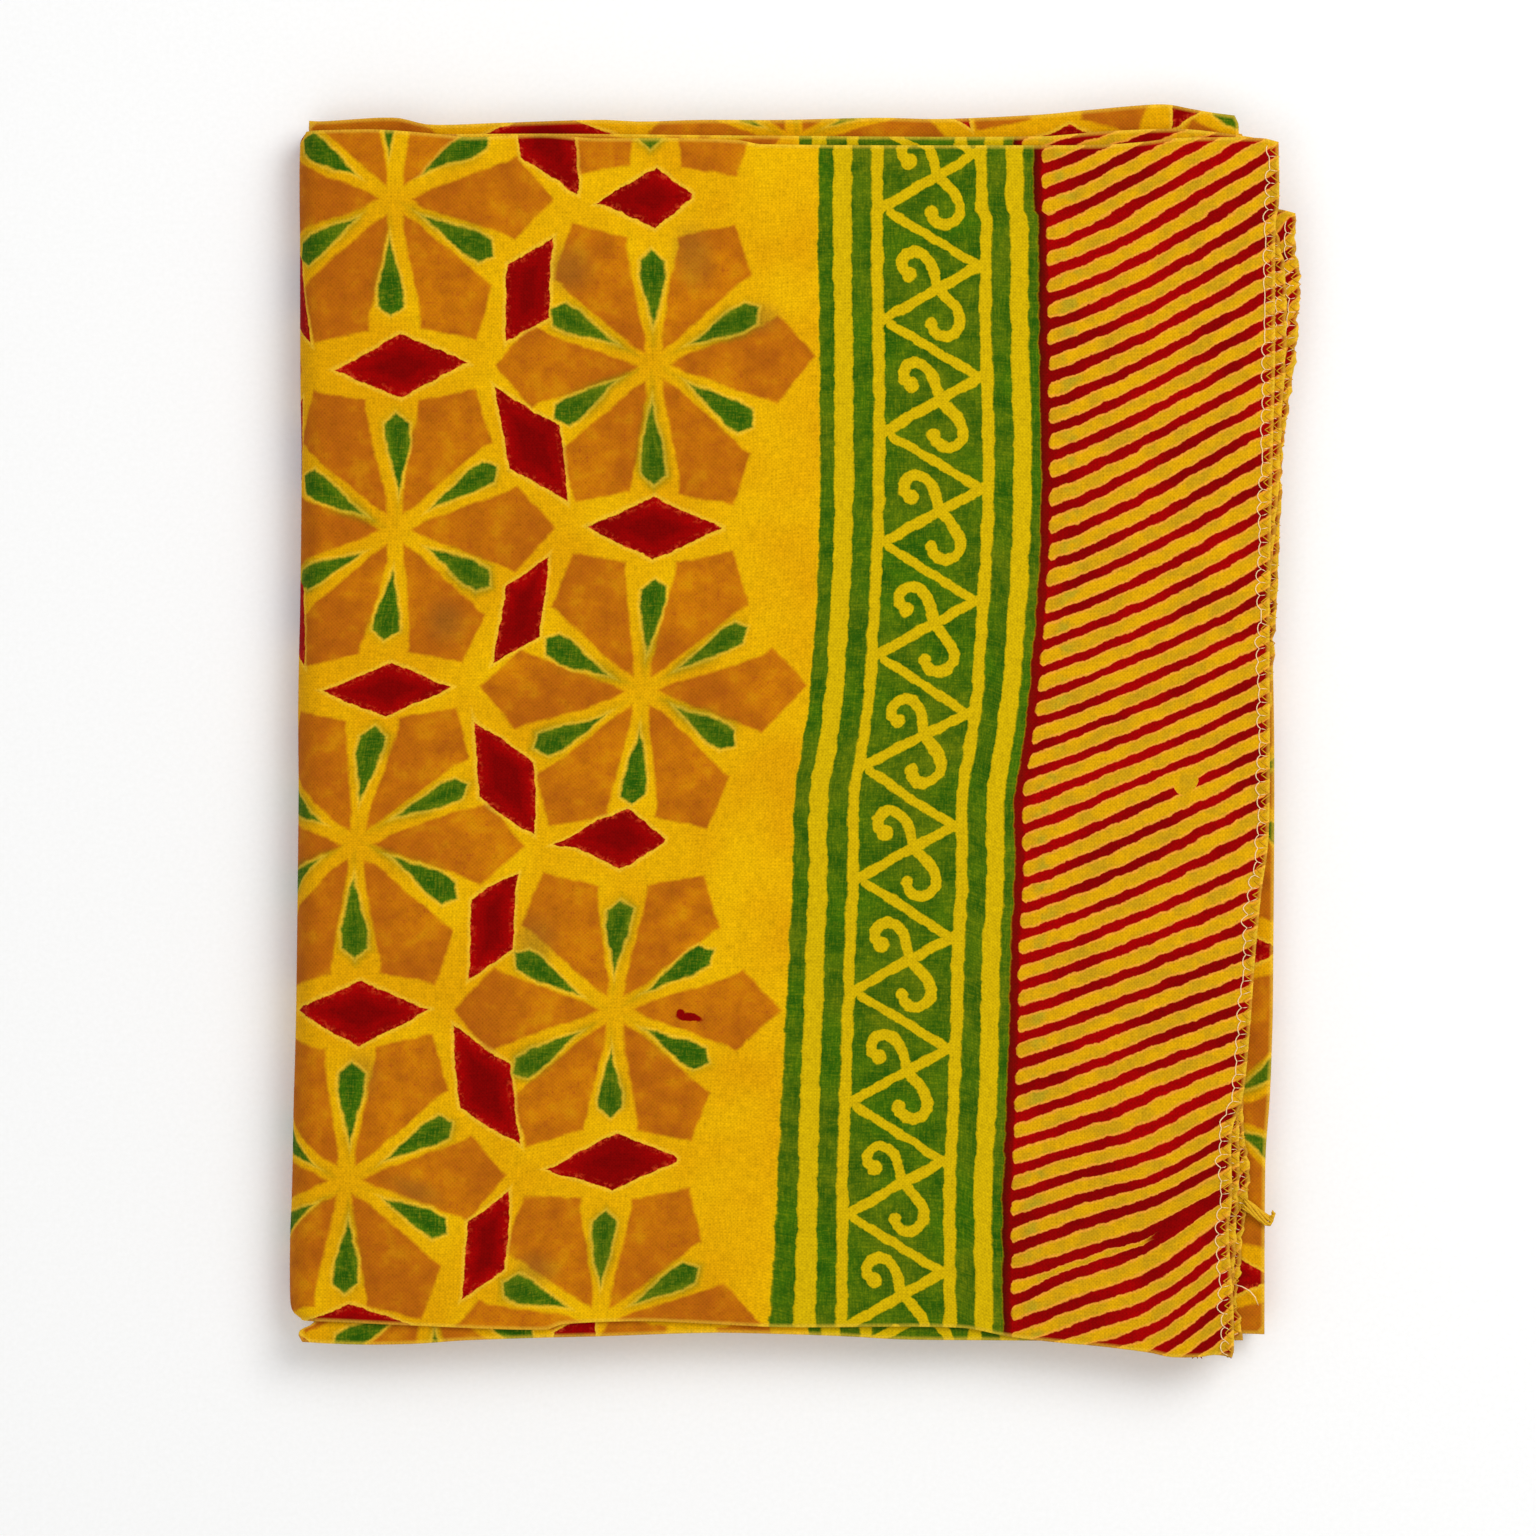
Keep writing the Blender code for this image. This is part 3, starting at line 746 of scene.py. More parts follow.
def rosette_rays_group():
    """A place by a hub as its distance along the nearest of the six rays, and aside from that ray."""
    gives = {"along": "Float", "aside": "Float"}
    tree, entry, leave = new_group("rosette_rays", {"local": "Vector"}, gives)
    x, y, _ = put(tree, "SeparateXYZ", entry[0]).node.outputs
    turn = put(tree, "Math", y, x, operation="ARCTAN2")
    turn = put(tree, "Math", turn, math.radians(30), operation="SUBTRACT")
    turn = put(tree, "Math", turn, math.radians(30), math.radians(-30), operation="WRAP")
    radius = put(tree, "VectorMath", entry[0], operation="LENGTH")
    along = put(tree, "Math", turn, operation="COSINE")
    aside = put(tree, "Math", put(tree, "Math", turn, operation="SINE"), operation="ABSOLUTE")
    tree.links.new(put(tree, "Math", radius, along, operation="MULTIPLY"), leave[0])
    tree.links.new(put(tree, "Math", radius, aside, operation="MULTIPLY"), leave[1])
    return tree


def stroke_group():
    """The distance from a place to a straight stroke. Run is the stroke from its start to its end, and
    share is run over its own square."""
    takes = {"place": "Vector", "start": "Vector", "run": "Vector", "share": "Vector"}
    tree, entry, leave = new_group("stroke_distance", takes, {"distance": "Float"})
    offset = put(tree, "VectorMath", entry[0], entry[1], operation="SUBTRACT")
    along = put(tree, "VectorMath", offset, entry[3], operation="DOT_PRODUCT")
    foot = put(tree, "VectorMath", entry[2], put(tree, "Clamp", along), operation="SCALE")
    tree.links.new(put(tree, "VectorMath", offset, foot, operation="DISTANCE"), leave[0])
    return tree


def inside_stroke(tree, group, place, stroke):
    """How far inside a stroke a place is, in mm, below 0 outside."""
    nearest = None
    for start, end in zip(stroke.points, stroke.points[1:]):
        run = Vector((end[0] - start[0], end[1] - start[1], 0.0))
        distance = put(tree, "Group", place, (*start, 0.0), run, run / run.length_squared, node_tree=group)
        nearest = put(tree, "Math", nearest, distance, operation="MINIMUM") if nearest else distance
    return put(tree, "Math", stroke.half, nearest, operation="SUBTRACT")


def inside_all(tree, *insides):
    """How far inside all of some shapes a place is."""
    least = insides[0]
    for inside in insides[1:]:
        least = put(tree, "Math", least, inside, operation="MINIMUM")
    return least


def inside_any(tree, *insides):
    """How far inside at least one of some shapes a place is."""
    most = insides[0]
    for inside in insides[1:]:
        most = put(tree, "Math", most, inside, operation="MAXIMUM")
    return most


def inside_petals(tree, along, aside, printed):
    """How far inside a rosette's petals a place is. They fill a star, less its six rays."""
    star = put(tree, "Math", aside, STAR_FLARE, STAR_REACH, operation="MULTIPLY_ADD")
    star = put(tree, "Math", star, along, operation="SUBTRACT")
    ray = put(tree, "MapRange", along, *RAY_WIDENS)
    petal = put(tree, "Math", aside, ray, operation="SUBTRACT")
    return inside_all(tree, star, petal, printed)


def inside_drops(tree, along, aside, printed):
    """How far inside a rosette's drops a place is. Each is a long point that ends blunt on its ray."""
    point = put(tree, "Math", along, *DROP_POINT, operation="MULTIPLY_ADD")
    point = put(tree, "Math", point, aside, operation="SUBTRACT")
    side = put(tree, "Math", DROP_HALF, aside, operation="SUBTRACT")
    slope, reach, bevel = DROP_END
    end = put(tree, "Math", along, slope, reach, operation="MULTIPLY_ADD")
    end = put(tree, "Math", aside, bevel, end, operation="MULTIPLY_ADD")
    return inside_all(tree, point, side, end, printed)


def inside_rhombi(tree, local, to_right):
    """How far inside the red rhombi round a hub a place is. They are the same turned half round."""
    _, y, _ = put(tree, "SeparateXYZ", local).node.outputs
    up = put(tree, "Math", y, operation="SIGN")
    local = put(tree, "VectorMath", local, up, operation="SCALE")
    shapes = []
    for rhombus in (FALLING_RHOMBUS, RISING_RHOMBUS):
        offset = put(tree, "VectorMath", local, (*rhombus.centre, 0.0), operation="SUBTRACT")
        for normal, half in zip(rhombus.normals, rhombus.halves):
            off = put(tree, "VectorMath", offset, (*normal, 0.0), operation="DOT_PRODUCT")
            off = put(tree, "Math", off, operation="ABSOLUTE")
            shapes.append(put(tree, "Math", half, off, operation="SUBTRACT"))
    offset = put(tree, "VectorMath", local, (0.0, ROSETTE_UP / 2, 0.0), operation="SUBTRACT")
    offset = put(tree, "VectorMath", offset, operation="ABSOLUTE")
    long, short = LEVEL_RHOMBUS
    level = put(tree, "VectorMath", offset, (1 / long, 1 / short, 0.0), operation="DOT_PRODUCT")
    reach = short * LEVEL_SLANT
    level = put(tree, "Math", level, -reach, reach, operation="MULTIPLY_ADD")
    cut_across, cut_up, cut_place = RIGHT_CUT
    cut = put(tree, "VectorMath", offset, (0.0, -cut_up, 0.0), operation="DOT_PRODUCT")
    cut = put(tree, "Math", to_right, cut_across, cut, operation="MULTIPLY_ADD")
    level = inside_all(tree, level, put(tree, "Math", cut, cut_place, operation="ADD"))
    falling = inside_all(tree, *shapes[:2])
    rising = inside_all(tree, *shapes[2:])
    return inside_all(tree, inside_any(tree, falling, rising, level), to_right)


def unslipped(tree, place, slips):
    """A place before the slips near it."""
    for slip in slips:
        landed = (slip.x + slip.right, slip.y + slip.up, 0.0)
        away = put(tree, "VectorMath", place, landed, operation="DISTANCE")
        share = put(tree, "MapRange", away, *SLIP_REACH, **SMOOTH)
        shift = (-slip.right, -slip.up, 0.0)
        place = put(tree, "VectorMath", share, shift, place, operation="MULTIPLY_ADD")
    return place


def blots_share(tree, place, blots, soft=0.15):
    """The share of some blots' ink at a place. Soft is half their edges' share of their size."""
    shares = []
    for blot in blots:
        size = (blot.long, blot.wide, 1.0)
        local = put(
            tree, "Mapping", place, (blot.x, blot.y, 0.0), (0.0, 0.0, math.radians(blot.turn)), size,
            vector_type="TEXTURE",
        )
        radius = put(tree, "VectorMath", local, operation="LENGTH")
        shares.append(put(tree, "MapRange", radius, 1 + soft, 1 - soft, **SMOOTH))
    return inside_any(tree, *shares)


def band_share(tree, t, ink, start, span):
    """The share of an ink across the border, where t runs from 0 to 1 over the bands' span."""
    made = put(tree, "ValToRGB", t)
    stops = made.node.color_ramp.elements
    stops[0].position, stops[0].color = 0.0, (0, 0, 0, 1)
    stops[1].position, stops[1].color = 1.0, (0, 0, 0, 1)
    was = 0.0
    for band in BANDS:
        now = float(band.ink == ink)
        if now != was:
            for offset, value in ((-0.14, was), (0.14, now)):
                stops.new((band.start + offset - start) / span).color = (value, value, value, 1)
        was = now
    return made


def scroll_share(tree, across, up):
    """The share of the yellow scroll in its green field: a zigzag under a row of S shapes."""
    group = stroke_group()
    from_field = put(tree, "Math", across, FIELD_LEFT, operation="SUBTRACT")
    from_point = put(tree, "Math", up, SCROLL_PHASE, operation="SUBTRACT")
    places = []
    for top in SCROLL_TOPS:
        y = put(tree, "Math", from_point, top, top - SCROLL_PITCH, operation="WRAP")
        places.append(put(tree, "CombineXYZ", from_field, y, 0.0))
    high, low = places
    strokes = [
        inside_stroke(tree, group, high, RISING_ARM), inside_stroke(tree, group, low, FALLING_ARM),
        inside_stroke(tree, group, high, SCROLL),
    ]
    for x, y, radius in SCROLL_BLOBS:
        away = put(tree, "VectorMath", high, (x, y, 0.0), operation="DISTANCE")
        strokes.append(put(tree, "Math", radius, away, operation="SUBTRACT"))
    inside = inside_any(tree, *strokes)
    in_field = put(tree, "Math", from_field, FIELD_MIDDLE, operation="SUBTRACT")
    in_field = put(tree, "Math", in_field, operation="ABSOLUTE")
    in_field = put(tree, "Math", FIELD_HALF, in_field, operation="SUBTRACT")
    inside = inside_all(tree, inside, in_field)
    return put(tree, "MapRange", inside, -0.2, 0.2, **SMOOTH)


def inside_stripes(tree, across, up, scant):
    """How far inside the slanted stripes a place is, and how far right of the red line. Stripes are
    thinner where the ink was scant."""
    past = put(tree, "Math", across, RED_LINE_RIGHT, operation="SUBTRACT")
    past = put(tree, "Math", past, 0.0, operation="MAXIMUM")
    settle = put(tree, "Math", past, -1 / STRIPE_SETTLES, operation="MULTIPLY")
    settle = put(tree, "Math", settle, operation="EXPONENT")
    low = -STRIPE_START_DROP + STRIPE_PHASE
    climb = put(tree, "Math", past, STRIPE_SLOPE, low, operation="MULTIPLY_ADD")
    climb = put(tree, "Math", settle, STRIPE_START_DROP, climb, operation="MULTIPLY_ADD")
    off = put(tree, "Math", up, climb, operation="SUBTRACT")
    # At one gap the blocks overlap: its two stripes lean to each other and run together.
    from_gap = put(tree, "Math", off, MERGING_GAP, operation="SUBTRACT")
    near = put(tree, "Math", from_gap, 1 / MERGING_REACH, operation="MULTIPLY")
    near = put(tree, "Math", near, near, operation="MULTIPLY")
    near = put(tree, "Math", near, -1.0, operation="MULTIPLY")
    near = put(tree, "Math", near, operation="EXPONENT")
    leans = [put(tree, "MapRange", past, *lean) for lean in MERGING_LEANS]
    lean = put(tree, "Math", *leans, operation="ADD")
    near = put(tree, "Math", near, lean, operation="MULTIPLY")
    off = put(tree, "Math", near, from_gap, off, operation="MULTIPLY_ADD")
    off = put(tree, "Math", off, STRIPE_PITCH / 2, -STRIPE_PITCH / 2, operation="WRAP")
    off = put(tree, "Math", off, operation="ABSOLUTE")
    # At the red line the gaps have blunt, round ends.
    flare = put(tree, "MapRange", past, 0.0, 1.1, 1.0, 0.0)
    flare = put(tree, "Math", flare, 2.2, operation="POWER")
    half = put(tree, "Math", scant, -0.18, STRIPE_HALF, operation="MULTIPLY_ADD")
    half = put(tree, "Math", near, 0.6, half, operation="MULTIPLY_ADD")
    half = put(tree, "Math", flare, 1.6, half, operation="MULTIPLY_ADD")
    return put(tree, "Math", half, off, operation="SUBTRACT"), past


def printed_cotton():
    """Plain-weave cotton voile, printed by hand with wood blocks: matt and thin, with uneven threads that
    show both ways, edges where the ink bleeds, and ink that lies thicker in some places than in others.
    Painted shade darkens the print towards the left fold, and a painted highlight makes folded rims paler."""
    material = bpy.data.materials.new("block_printed_cotton_voile")
    material.use_nodes = True
    tree = material.node_tree
    shader = tree.nodes["Principled BSDF"]
    settings = bpy.context.scene.sarong

    uv = put(tree, "UVMap", uv_map="cloth")
    cloth = put(tree, "VectorMath", uv, 1 / MM, operation="SCALE")

    # The threads: each way a streaky noise, drawn out along the thread, over the crossings of the weave.
    spacing = settings.thread_spacing / MM
    streaks = []
    for stretch in ((1.0, 0.16, 1.0), (0.16, 1.0, 1.0)):
        run = put(tree, "VectorMath", cloth, stretch, operation="MULTIPLY")
        streaks.append(put(tree, "TexNoise", run, 1.0 / spacing, 2.0, 0.7))
    threads = put(tree, "Math", *streaks, operation="ADD")
    wave = put(tree, "VectorMath", cloth, (math.pi / spacing,) * 3, operation="MULTIPLY")
    wave = put(tree, "SeparateXYZ", put(tree, "VectorMath", wave, operation="SINE")).node.outputs
    crossing = put(tree, "Math", wave[0], wave[1], operation="MULTIPLY")

    # The blocks' edges wander, the ink bleeds along the threads, and each block is placed by itself.
    middle = (0.5, 0.5, 0.5)
    place = cloth
    for size, reach in ((4.0, 1.2), (0.8, 0.5)):
        field = put(tree, "TexNoise", cloth, 1 / size, 1.0).node.outputs["Color"]
        field = put(tree, "VectorMath", field, middle, operation="SUBTRACT")
        field = put(tree, "VectorMath", field, (reach, reach, 0.0), operation="MULTIPLY")
        place = put(tree, "VectorMath", place, field, operation="ADD")
    slip = put(tree, "TexNoise", cloth, 1 / BLOCK_SLIP, 0.0).node.outputs["Color"]
    slip = put(tree, "VectorMath", slip, middle, operation="SUBTRACT")
    slip_x, slip_y, slip_z = put(tree, "SeparateXYZ", slip).node.outputs
    cell_group, rays_group = rosette_cell_group(), rosette_rays_group()
    cells = []
    red_place = unslipped(tree, place, RED_SLIPS)
    for reach, first, second, base in (
        (3.0, slip_x, slip_y, place), (5.0, slip_y, slip_z, place), (5.0, slip_z, slip_x, red_place),
    ):
        slipped = put(tree, "CombineXYZ", first, second, 0.0)
        slipped = put(tree, "VectorMath", slipped, (reach, reach, 0.0), base, operation="MULTIPLY_ADD")
        cells.append(put(tree, "Group", slipped, node_tree=cell_group).node.outputs)
    printed = [put(tree, "Math", LAST_COLUMN, cell[1], operation="SUBTRACT") for cell in cells[:2]]
    rays = [put(tree, "Group", cell[0], node_tree=rays_group).node.outputs for cell in cells[:2]]
    petals = inside_petals(tree, *rays[0][:2], printed[0])
    drops = inside_drops(tree, *rays[1][:2], printed[1])

    plain = put(tree, "SeparateXYZ", place).node.outputs
    pace, turn_back = math.pi / SHORT_PITCH, -SHORT_FROM * math.pi / SHORT_PITCH
    turn = put(tree, "Math", plain[1], pace, turn_back, operation="MULTIPLY_ADD")
    swing = put(tree, "Math", turn, operation="COSINE")
    short = put(tree, "Math", swing, SHORT_SWING, SHORT_END, operation="MULTIPLY_ADD")
    to_right = put(tree, "Math", short, plain[0], operation="SUBTRACT")
    shifted = put(tree, "VectorMath", cells[2][0], RHOMBI_SHIFT, operation="ADD")
    rhombi = inside_rhombi(tree, shifted, to_right)

    border = put(tree, "VectorMath", slip, (1.2, 1.2, 0.0), place, operation="MULTIPLY_ADD")
    across, up, _ = put(tree, "SeparateXYZ", border).node.outputs
    start, span = BANDS[0].start - 2.0, BANDS[-1].start - BANDS[0].start + 6.0
    t = put(tree, "MapRange", across, start, start + span)
    green_bands = band_share(tree, t, "green", start, span)
    maroon = band_share(tree, t, "maroon", start, span)
    scroll = scroll_share(tree, across, up)
    green_bands = put(tree, "Math", green_bands, scroll, operation="SUBTRACT", use_clamp=True)
    from_scant = put(tree, "Math", up, -SCANT_UP, operation="ADD")
    from_scant = put(tree, "Math", from_scant, operation="ABSOLUTE")
    scant = put(tree, "MapRange", from_scant, *SCANT_REACH, 1.0, 0.0)
    stripes, past = inside_stripes(tree, across, up, scant)
    in_stripes = put(tree, "Math", past, 0.001, operation="GREATER_THAN")
    bare = put(tree, "Math", blots_share(tree, place, BARE_SPOTS), -4.0, stripes, operation="MULTIPLY_ADD")
    stripes_share = put(tree, "MapRange", bare, -0.16, 0.16, **SMOOTH)
    stripes_share = put(tree, "Math", stripes_share, in_stripes, operation="MULTIPLY")
    fringe = put(tree, "MapRange", bare, -0.75, -0.2, 0.0, 0.85, **SMOOTH)
    fringe = put(tree, "Math", fringe, in_stripes, operation="MULTIPLY")

    # The dyed ground. Between the stripes it is duller, and the layer below shows through in patches.
    broad = put(tree, "TexNoise", cloth, 1 / BROAD, 2.0)
    patchy = put(tree, "TexNoise", cloth, 1 / PATCHY, 3.0, 0.6)
    speck = put(tree, "TexNoise", cloth, 1 / SPECK, 2.0, 0.7)
    faded_and_fold_shade = put(tree, "MapRange", broad, 0.34, 0.64)
    # Painted shade: the yellow and the orange are darkened towards the left fold, where the cloth turns
    # away from the light. This adds to the ink's real uneven fading.
    painted_fold_shade = put(tree, "MapRange", across, -118.0, -70.0, 0.55, 0.0)
    faded_and_fold_shade = put(tree, "Math", faded_and_fold_shade, painted_fold_shade, operation="ADD", use_clamp=True)
    in_border = put(tree, "MapRange", across, BANDS[0].start - 0.5, BANDS[0].start + 0.5)
    yellow = layered(tree, settings.yellow, (faded_and_fold_shade, "yellow_deep"), (in_border, "yellow_border"))
    dull = put(tree, "MapRange", patchy, 0.42, 0.66, 0.0, 0.7)
    near_line = put(tree, "MapRange", past, 2.0, 5.0, **SMOOTH)
    far_from_line = put(tree, "MapRange", past, 6.0, 9.0, 0.55, 0.12, **SMOOTH)
    shows = put(tree, "Math", near_line, far_from_line, operation="MULTIPLY")
    shows = put(tree, "Math", shows, put(tree, "MapRange", patchy, 0.46, 0.6), operation="MULTIPLY")
    ground = layered(tree, linear(INKS["ground"]), (dull, "ground_deep"), (shows, "show_through"))

    # Petals in orange, thin in patches and browner where the threads stand out, with a few stains.
    smear = put(tree, "MapRange", patchy, 0.46, 0.7, 0.0, 0.6)
    grain = put(tree, "MapRange", threads, 1.0, 1.3, 0.0, 0.8)
    smear = put(tree, "Math", smear, grain, operation="ADD", use_clamp=True)
    orange = layered(tree, settings.orange, (faded_and_fold_shade, "orange_deep"), (smear, "orange_brown"))
    petals_share = put(tree, "MapRange", petals, -0.6, 0.5, **SMOOTH)
    thin = put(tree, "MapRange", patchy, 0.3, 0.46, 0.72, 1.0)
    petals_share = put(tree, "Math", petals_share, thin, operation="MULTIPLY")
    stain = put(tree, "Math", blots_share(tree, place, STAINS, 0.8), 0.5, operation="MULTIPLY")

    # Drops and bands in green, darker in the middle. The drops' ink spreads in patches, and round the
    # drops and the rhombi the cloth stays pale.
    olive = put(tree, "MapRange", broad, 0.36, 0.62, 0.0, 0.9)
    deep = put(tree, "MapRange", patchy, 0.36, 0.6, 0.8, 0.0)
    middle_of_drop = put(tree, "MapRange", drops, 0.3, 2.4, 0.0, 0.8, **SMOOTH)
    deep = put(tree, "Math", deep, middle_of_drop, operation="MAXIMUM")
    green = layered(tree, settings.green, (olive, "green_olive"), (deep, "green_deep"))
    halo = put(tree, "MapRange", drops, -2.6, 0.0, 0.0, 0.6, **SMOOTH)
    halo = put(tree, "Math", halo, put(tree, "MapRange", broad, 0.45, 0.6), operation="MULTIPLY")
    pale = put(tree, "MapRange", inside_any(tree, drops, rhombi), -1.1, -0.2, 0.0, 0.45, **SMOOTH)
    green_share = put(tree, "MapRange", drops, -0.55, 0.4, **SMOOTH)
    green_share = put(tree, "Math", green_share, green_bands, operation="MAXIMUM")
    skips = put(tree, "MapRange", threads, 0.95, 1.3, 1.0, 0.88)
    green_share = put(tree, "Math", green_share, skips, operation="MULTIPLY")

    # Rhombi and stripes in red, darker in the middle, and the rhombi worn along their edges.
    dark = put(tree, "MapRange", inside_any(tree, rhombi, stripes), 0.5, 4.0, 0.0, 0.9)
    dark_patch = put(tree, "MapRange", broad, 0.4, 0.62, 0.75, 0.0)
    dark = put(tree, "Math", dark, dark_patch, operation="MAXIMUM")
    worn = put(tree, "MapRange", rhombi, 0.1, 1.5, 0.9, 0.0)
    worn = put(tree, "Math", worn, put(tree, "MapRange", speck, 0.5, 0.62), operation="MULTIPLY")
    worn = put(tree, "Math", worn, put(tree, "MapRange", rhombi, -1.0, -0.2), operation="MULTIPLY")
    red = layered(tree, settings.red, (dark, "red_deep"), (worn, "red_fringe"))
    red_share = put(tree, "MapRange", rhombi, -0.15, 0.15, **SMOOTH)
    red_share = put(tree, "Math", red_share, blots_share(tree, place, RED_BLOTS), operation="MAXIMUM")
    red_share = put(tree, "Math", red_share, stripes_share, operation="MAXIMUM")
    redder = put(tree, "MapRange", across, 57.0, 58.9, 0.0, 0.85)
    line_ink = layered(tree, linear(INKS["maroon_deep"]), (scant, "maroon"), (redder, "red_line"))

    # Specks of dirt lie on the print, and folded rims are painted paler, a painted highlight where the
    # folds catch the light.
    dirt = put(tree, "MapRange", speck, 0.80, 0.84, 0.0, 0.8)
    rim = put(tree, "Attribute", attribute_name="from_rim").node.outputs["Fac"]
    # Painted highlight: within 0.9 mm of a rim the colour is mixed towards pale yellow.
    painted_rim_highlight = put(tree, "MapRange", rim, 0.0, 0.9, 0.45, 0.0)
    colour = layered(
        tree, yellow, (in_stripes, ground), (petals_share, orange), (stain, "stain"), (halo, "green_olive"),
        (pale, "pale_edge"), (green_share, green), (fringe, "stripe_fringe"), (red_share, red),
        (maroon, line_ink), (dirt, "red_deep"), (painted_rim_highlight, "pale_edge"),
    )

    value = put(tree, "Math", threads, 0.66, 0.34, operation="MULTIPLY_ADD")
    value = put(tree, "Math", crossing, 0.1, value, operation="MULTIPLY_ADD")
    shade = put(tree, "HueSaturation", 0.5, 1.0, value, 1.0, colour)
    tree.links.new(shade, shader.inputs["Base Color"])
    relief = put(tree, "Math", crossing, 0.35, threads, operation="MULTIPLY_ADD")
    bump = put(tree, "Bump", 0.4, 0.12 * MM, None, relief)
    tree.links.new(bump, shader.inputs["Normal"])
    shader.inputs["Roughness"].default_value = 0.92
    shader.inputs["Specular IOR Level"].default_value = 0.03
    shader.inputs["Sheen Weight"].default_value = 0.02
    shader.inputs["Sheen Roughness"].default_value = 0.5
    return material


def cloth_material():
    return bpy.data.materials.get("block_printed_cotton_voile") or printed_cotton()


def spun_thread(name, colour):
    """Spun polyester-cotton thread, two plies twisted: matt, with the twist as fine slanted shading."""
    material = bpy.data.materials.new(name)
    material.use_nodes = True
    tree = material.node_tree
    shader = tree.nodes["Principled BSDF"]
    place = put(tree, "TexCoord").node.outputs["Object"]
    twist = put(tree, "TexNoise", place, 1 / (0.3 * MM), 1.0)
    value = put(tree, "MapRange", twist, 0.3, 0.7, 0.8, 1.15)
    shade = put(tree, "HueSaturation", 0.5, 1.0, value, 1.0, linear(colour))
    tree.links.new(shade, shader.inputs["Base Color"])
    shader.inputs["Roughness"].default_value = 0.8
    shader.inputs["Specular IOR Level"].default_value = 0.15
    return material


def backdrop_paper():
    """Matt white paper: pale, even and without gloss."""
    material = bpy.data.materials.new("matt_white_backdrop_paper")
    material.use_nodes = True
    tree = material.node_tree
    shader = tree.nodes["Principled BSDF"]
    place = put(tree, "TexCoord").node.outputs["Object"]
    grain = put(tree, "TexNoise", place, 900.0, 3.0)
    tone = put(tree, "Mix", grain, linear(INKS["floor"]), linear("#FFFFFF"), data_type="RGBA")
    tree.links.new(tone, shader.inputs["Base Color"])
    shader.inputs["Roughness"].default_value = 0.95
    shader.inputs["Specular IOR Level"].default_value = 0.1
    return material


class SarongSettings(bpy.types.PropertyGroup):
    """Sizes and colours that a user would change."""

    thread_spacing: bpy.props.FloatProperty(
        name="Thread spacing", description="From one thread of the weave to the next",
        default=0.46 * MM, min=0.2 * MM, max=2 * MM, unit="LENGTH", precision=5,
    )
    stitch_length: bpy.props.FloatProperty(
        name="Stitch length", description="From one needle hole of the overlock to the next",
        default=3.1 * MM, min=1 * MM, max=8 * MM, unit="LENGTH", precision=4,
    )
    yellow: bpy.props.FloatVectorProperty(
        name="Yellow", description="The dyed ground", size=4, subtype="COLOR",
        default=linear(INKS["yellow"]), min=0, max=1,
    )
    orange: bpy.props.FloatVectorProperty(
        name="Orange", description="The rosettes' petals", size=4, subtype="COLOR",
        default=linear(INKS["orange"]), min=0, max=1,
    )
    red: bpy.props.FloatVectorProperty(
        name="Red", description="The rhombi and the stripes", size=4, subtype="COLOR",
        default=linear(INKS["red"]), min=0, max=1,
    )
    green: bpy.props.FloatVectorProperty(
        name="Green", description="The drops and the border", size=4, subtype="COLOR",
        default=linear(INKS["green"]), min=0, max=1,
    )
    camera_height: bpy.props.FloatProperty(
        name="Camera height", description="From the floor to the camera", default=1.80, min=0.5,
        unit="LENGTH",
    )
    key_power: bpy.props.FloatProperty(
        name="Key light", description="The softbox at the upper right", default=15.0, min=0,
        subtype="POWER", unit="POWER",
    )


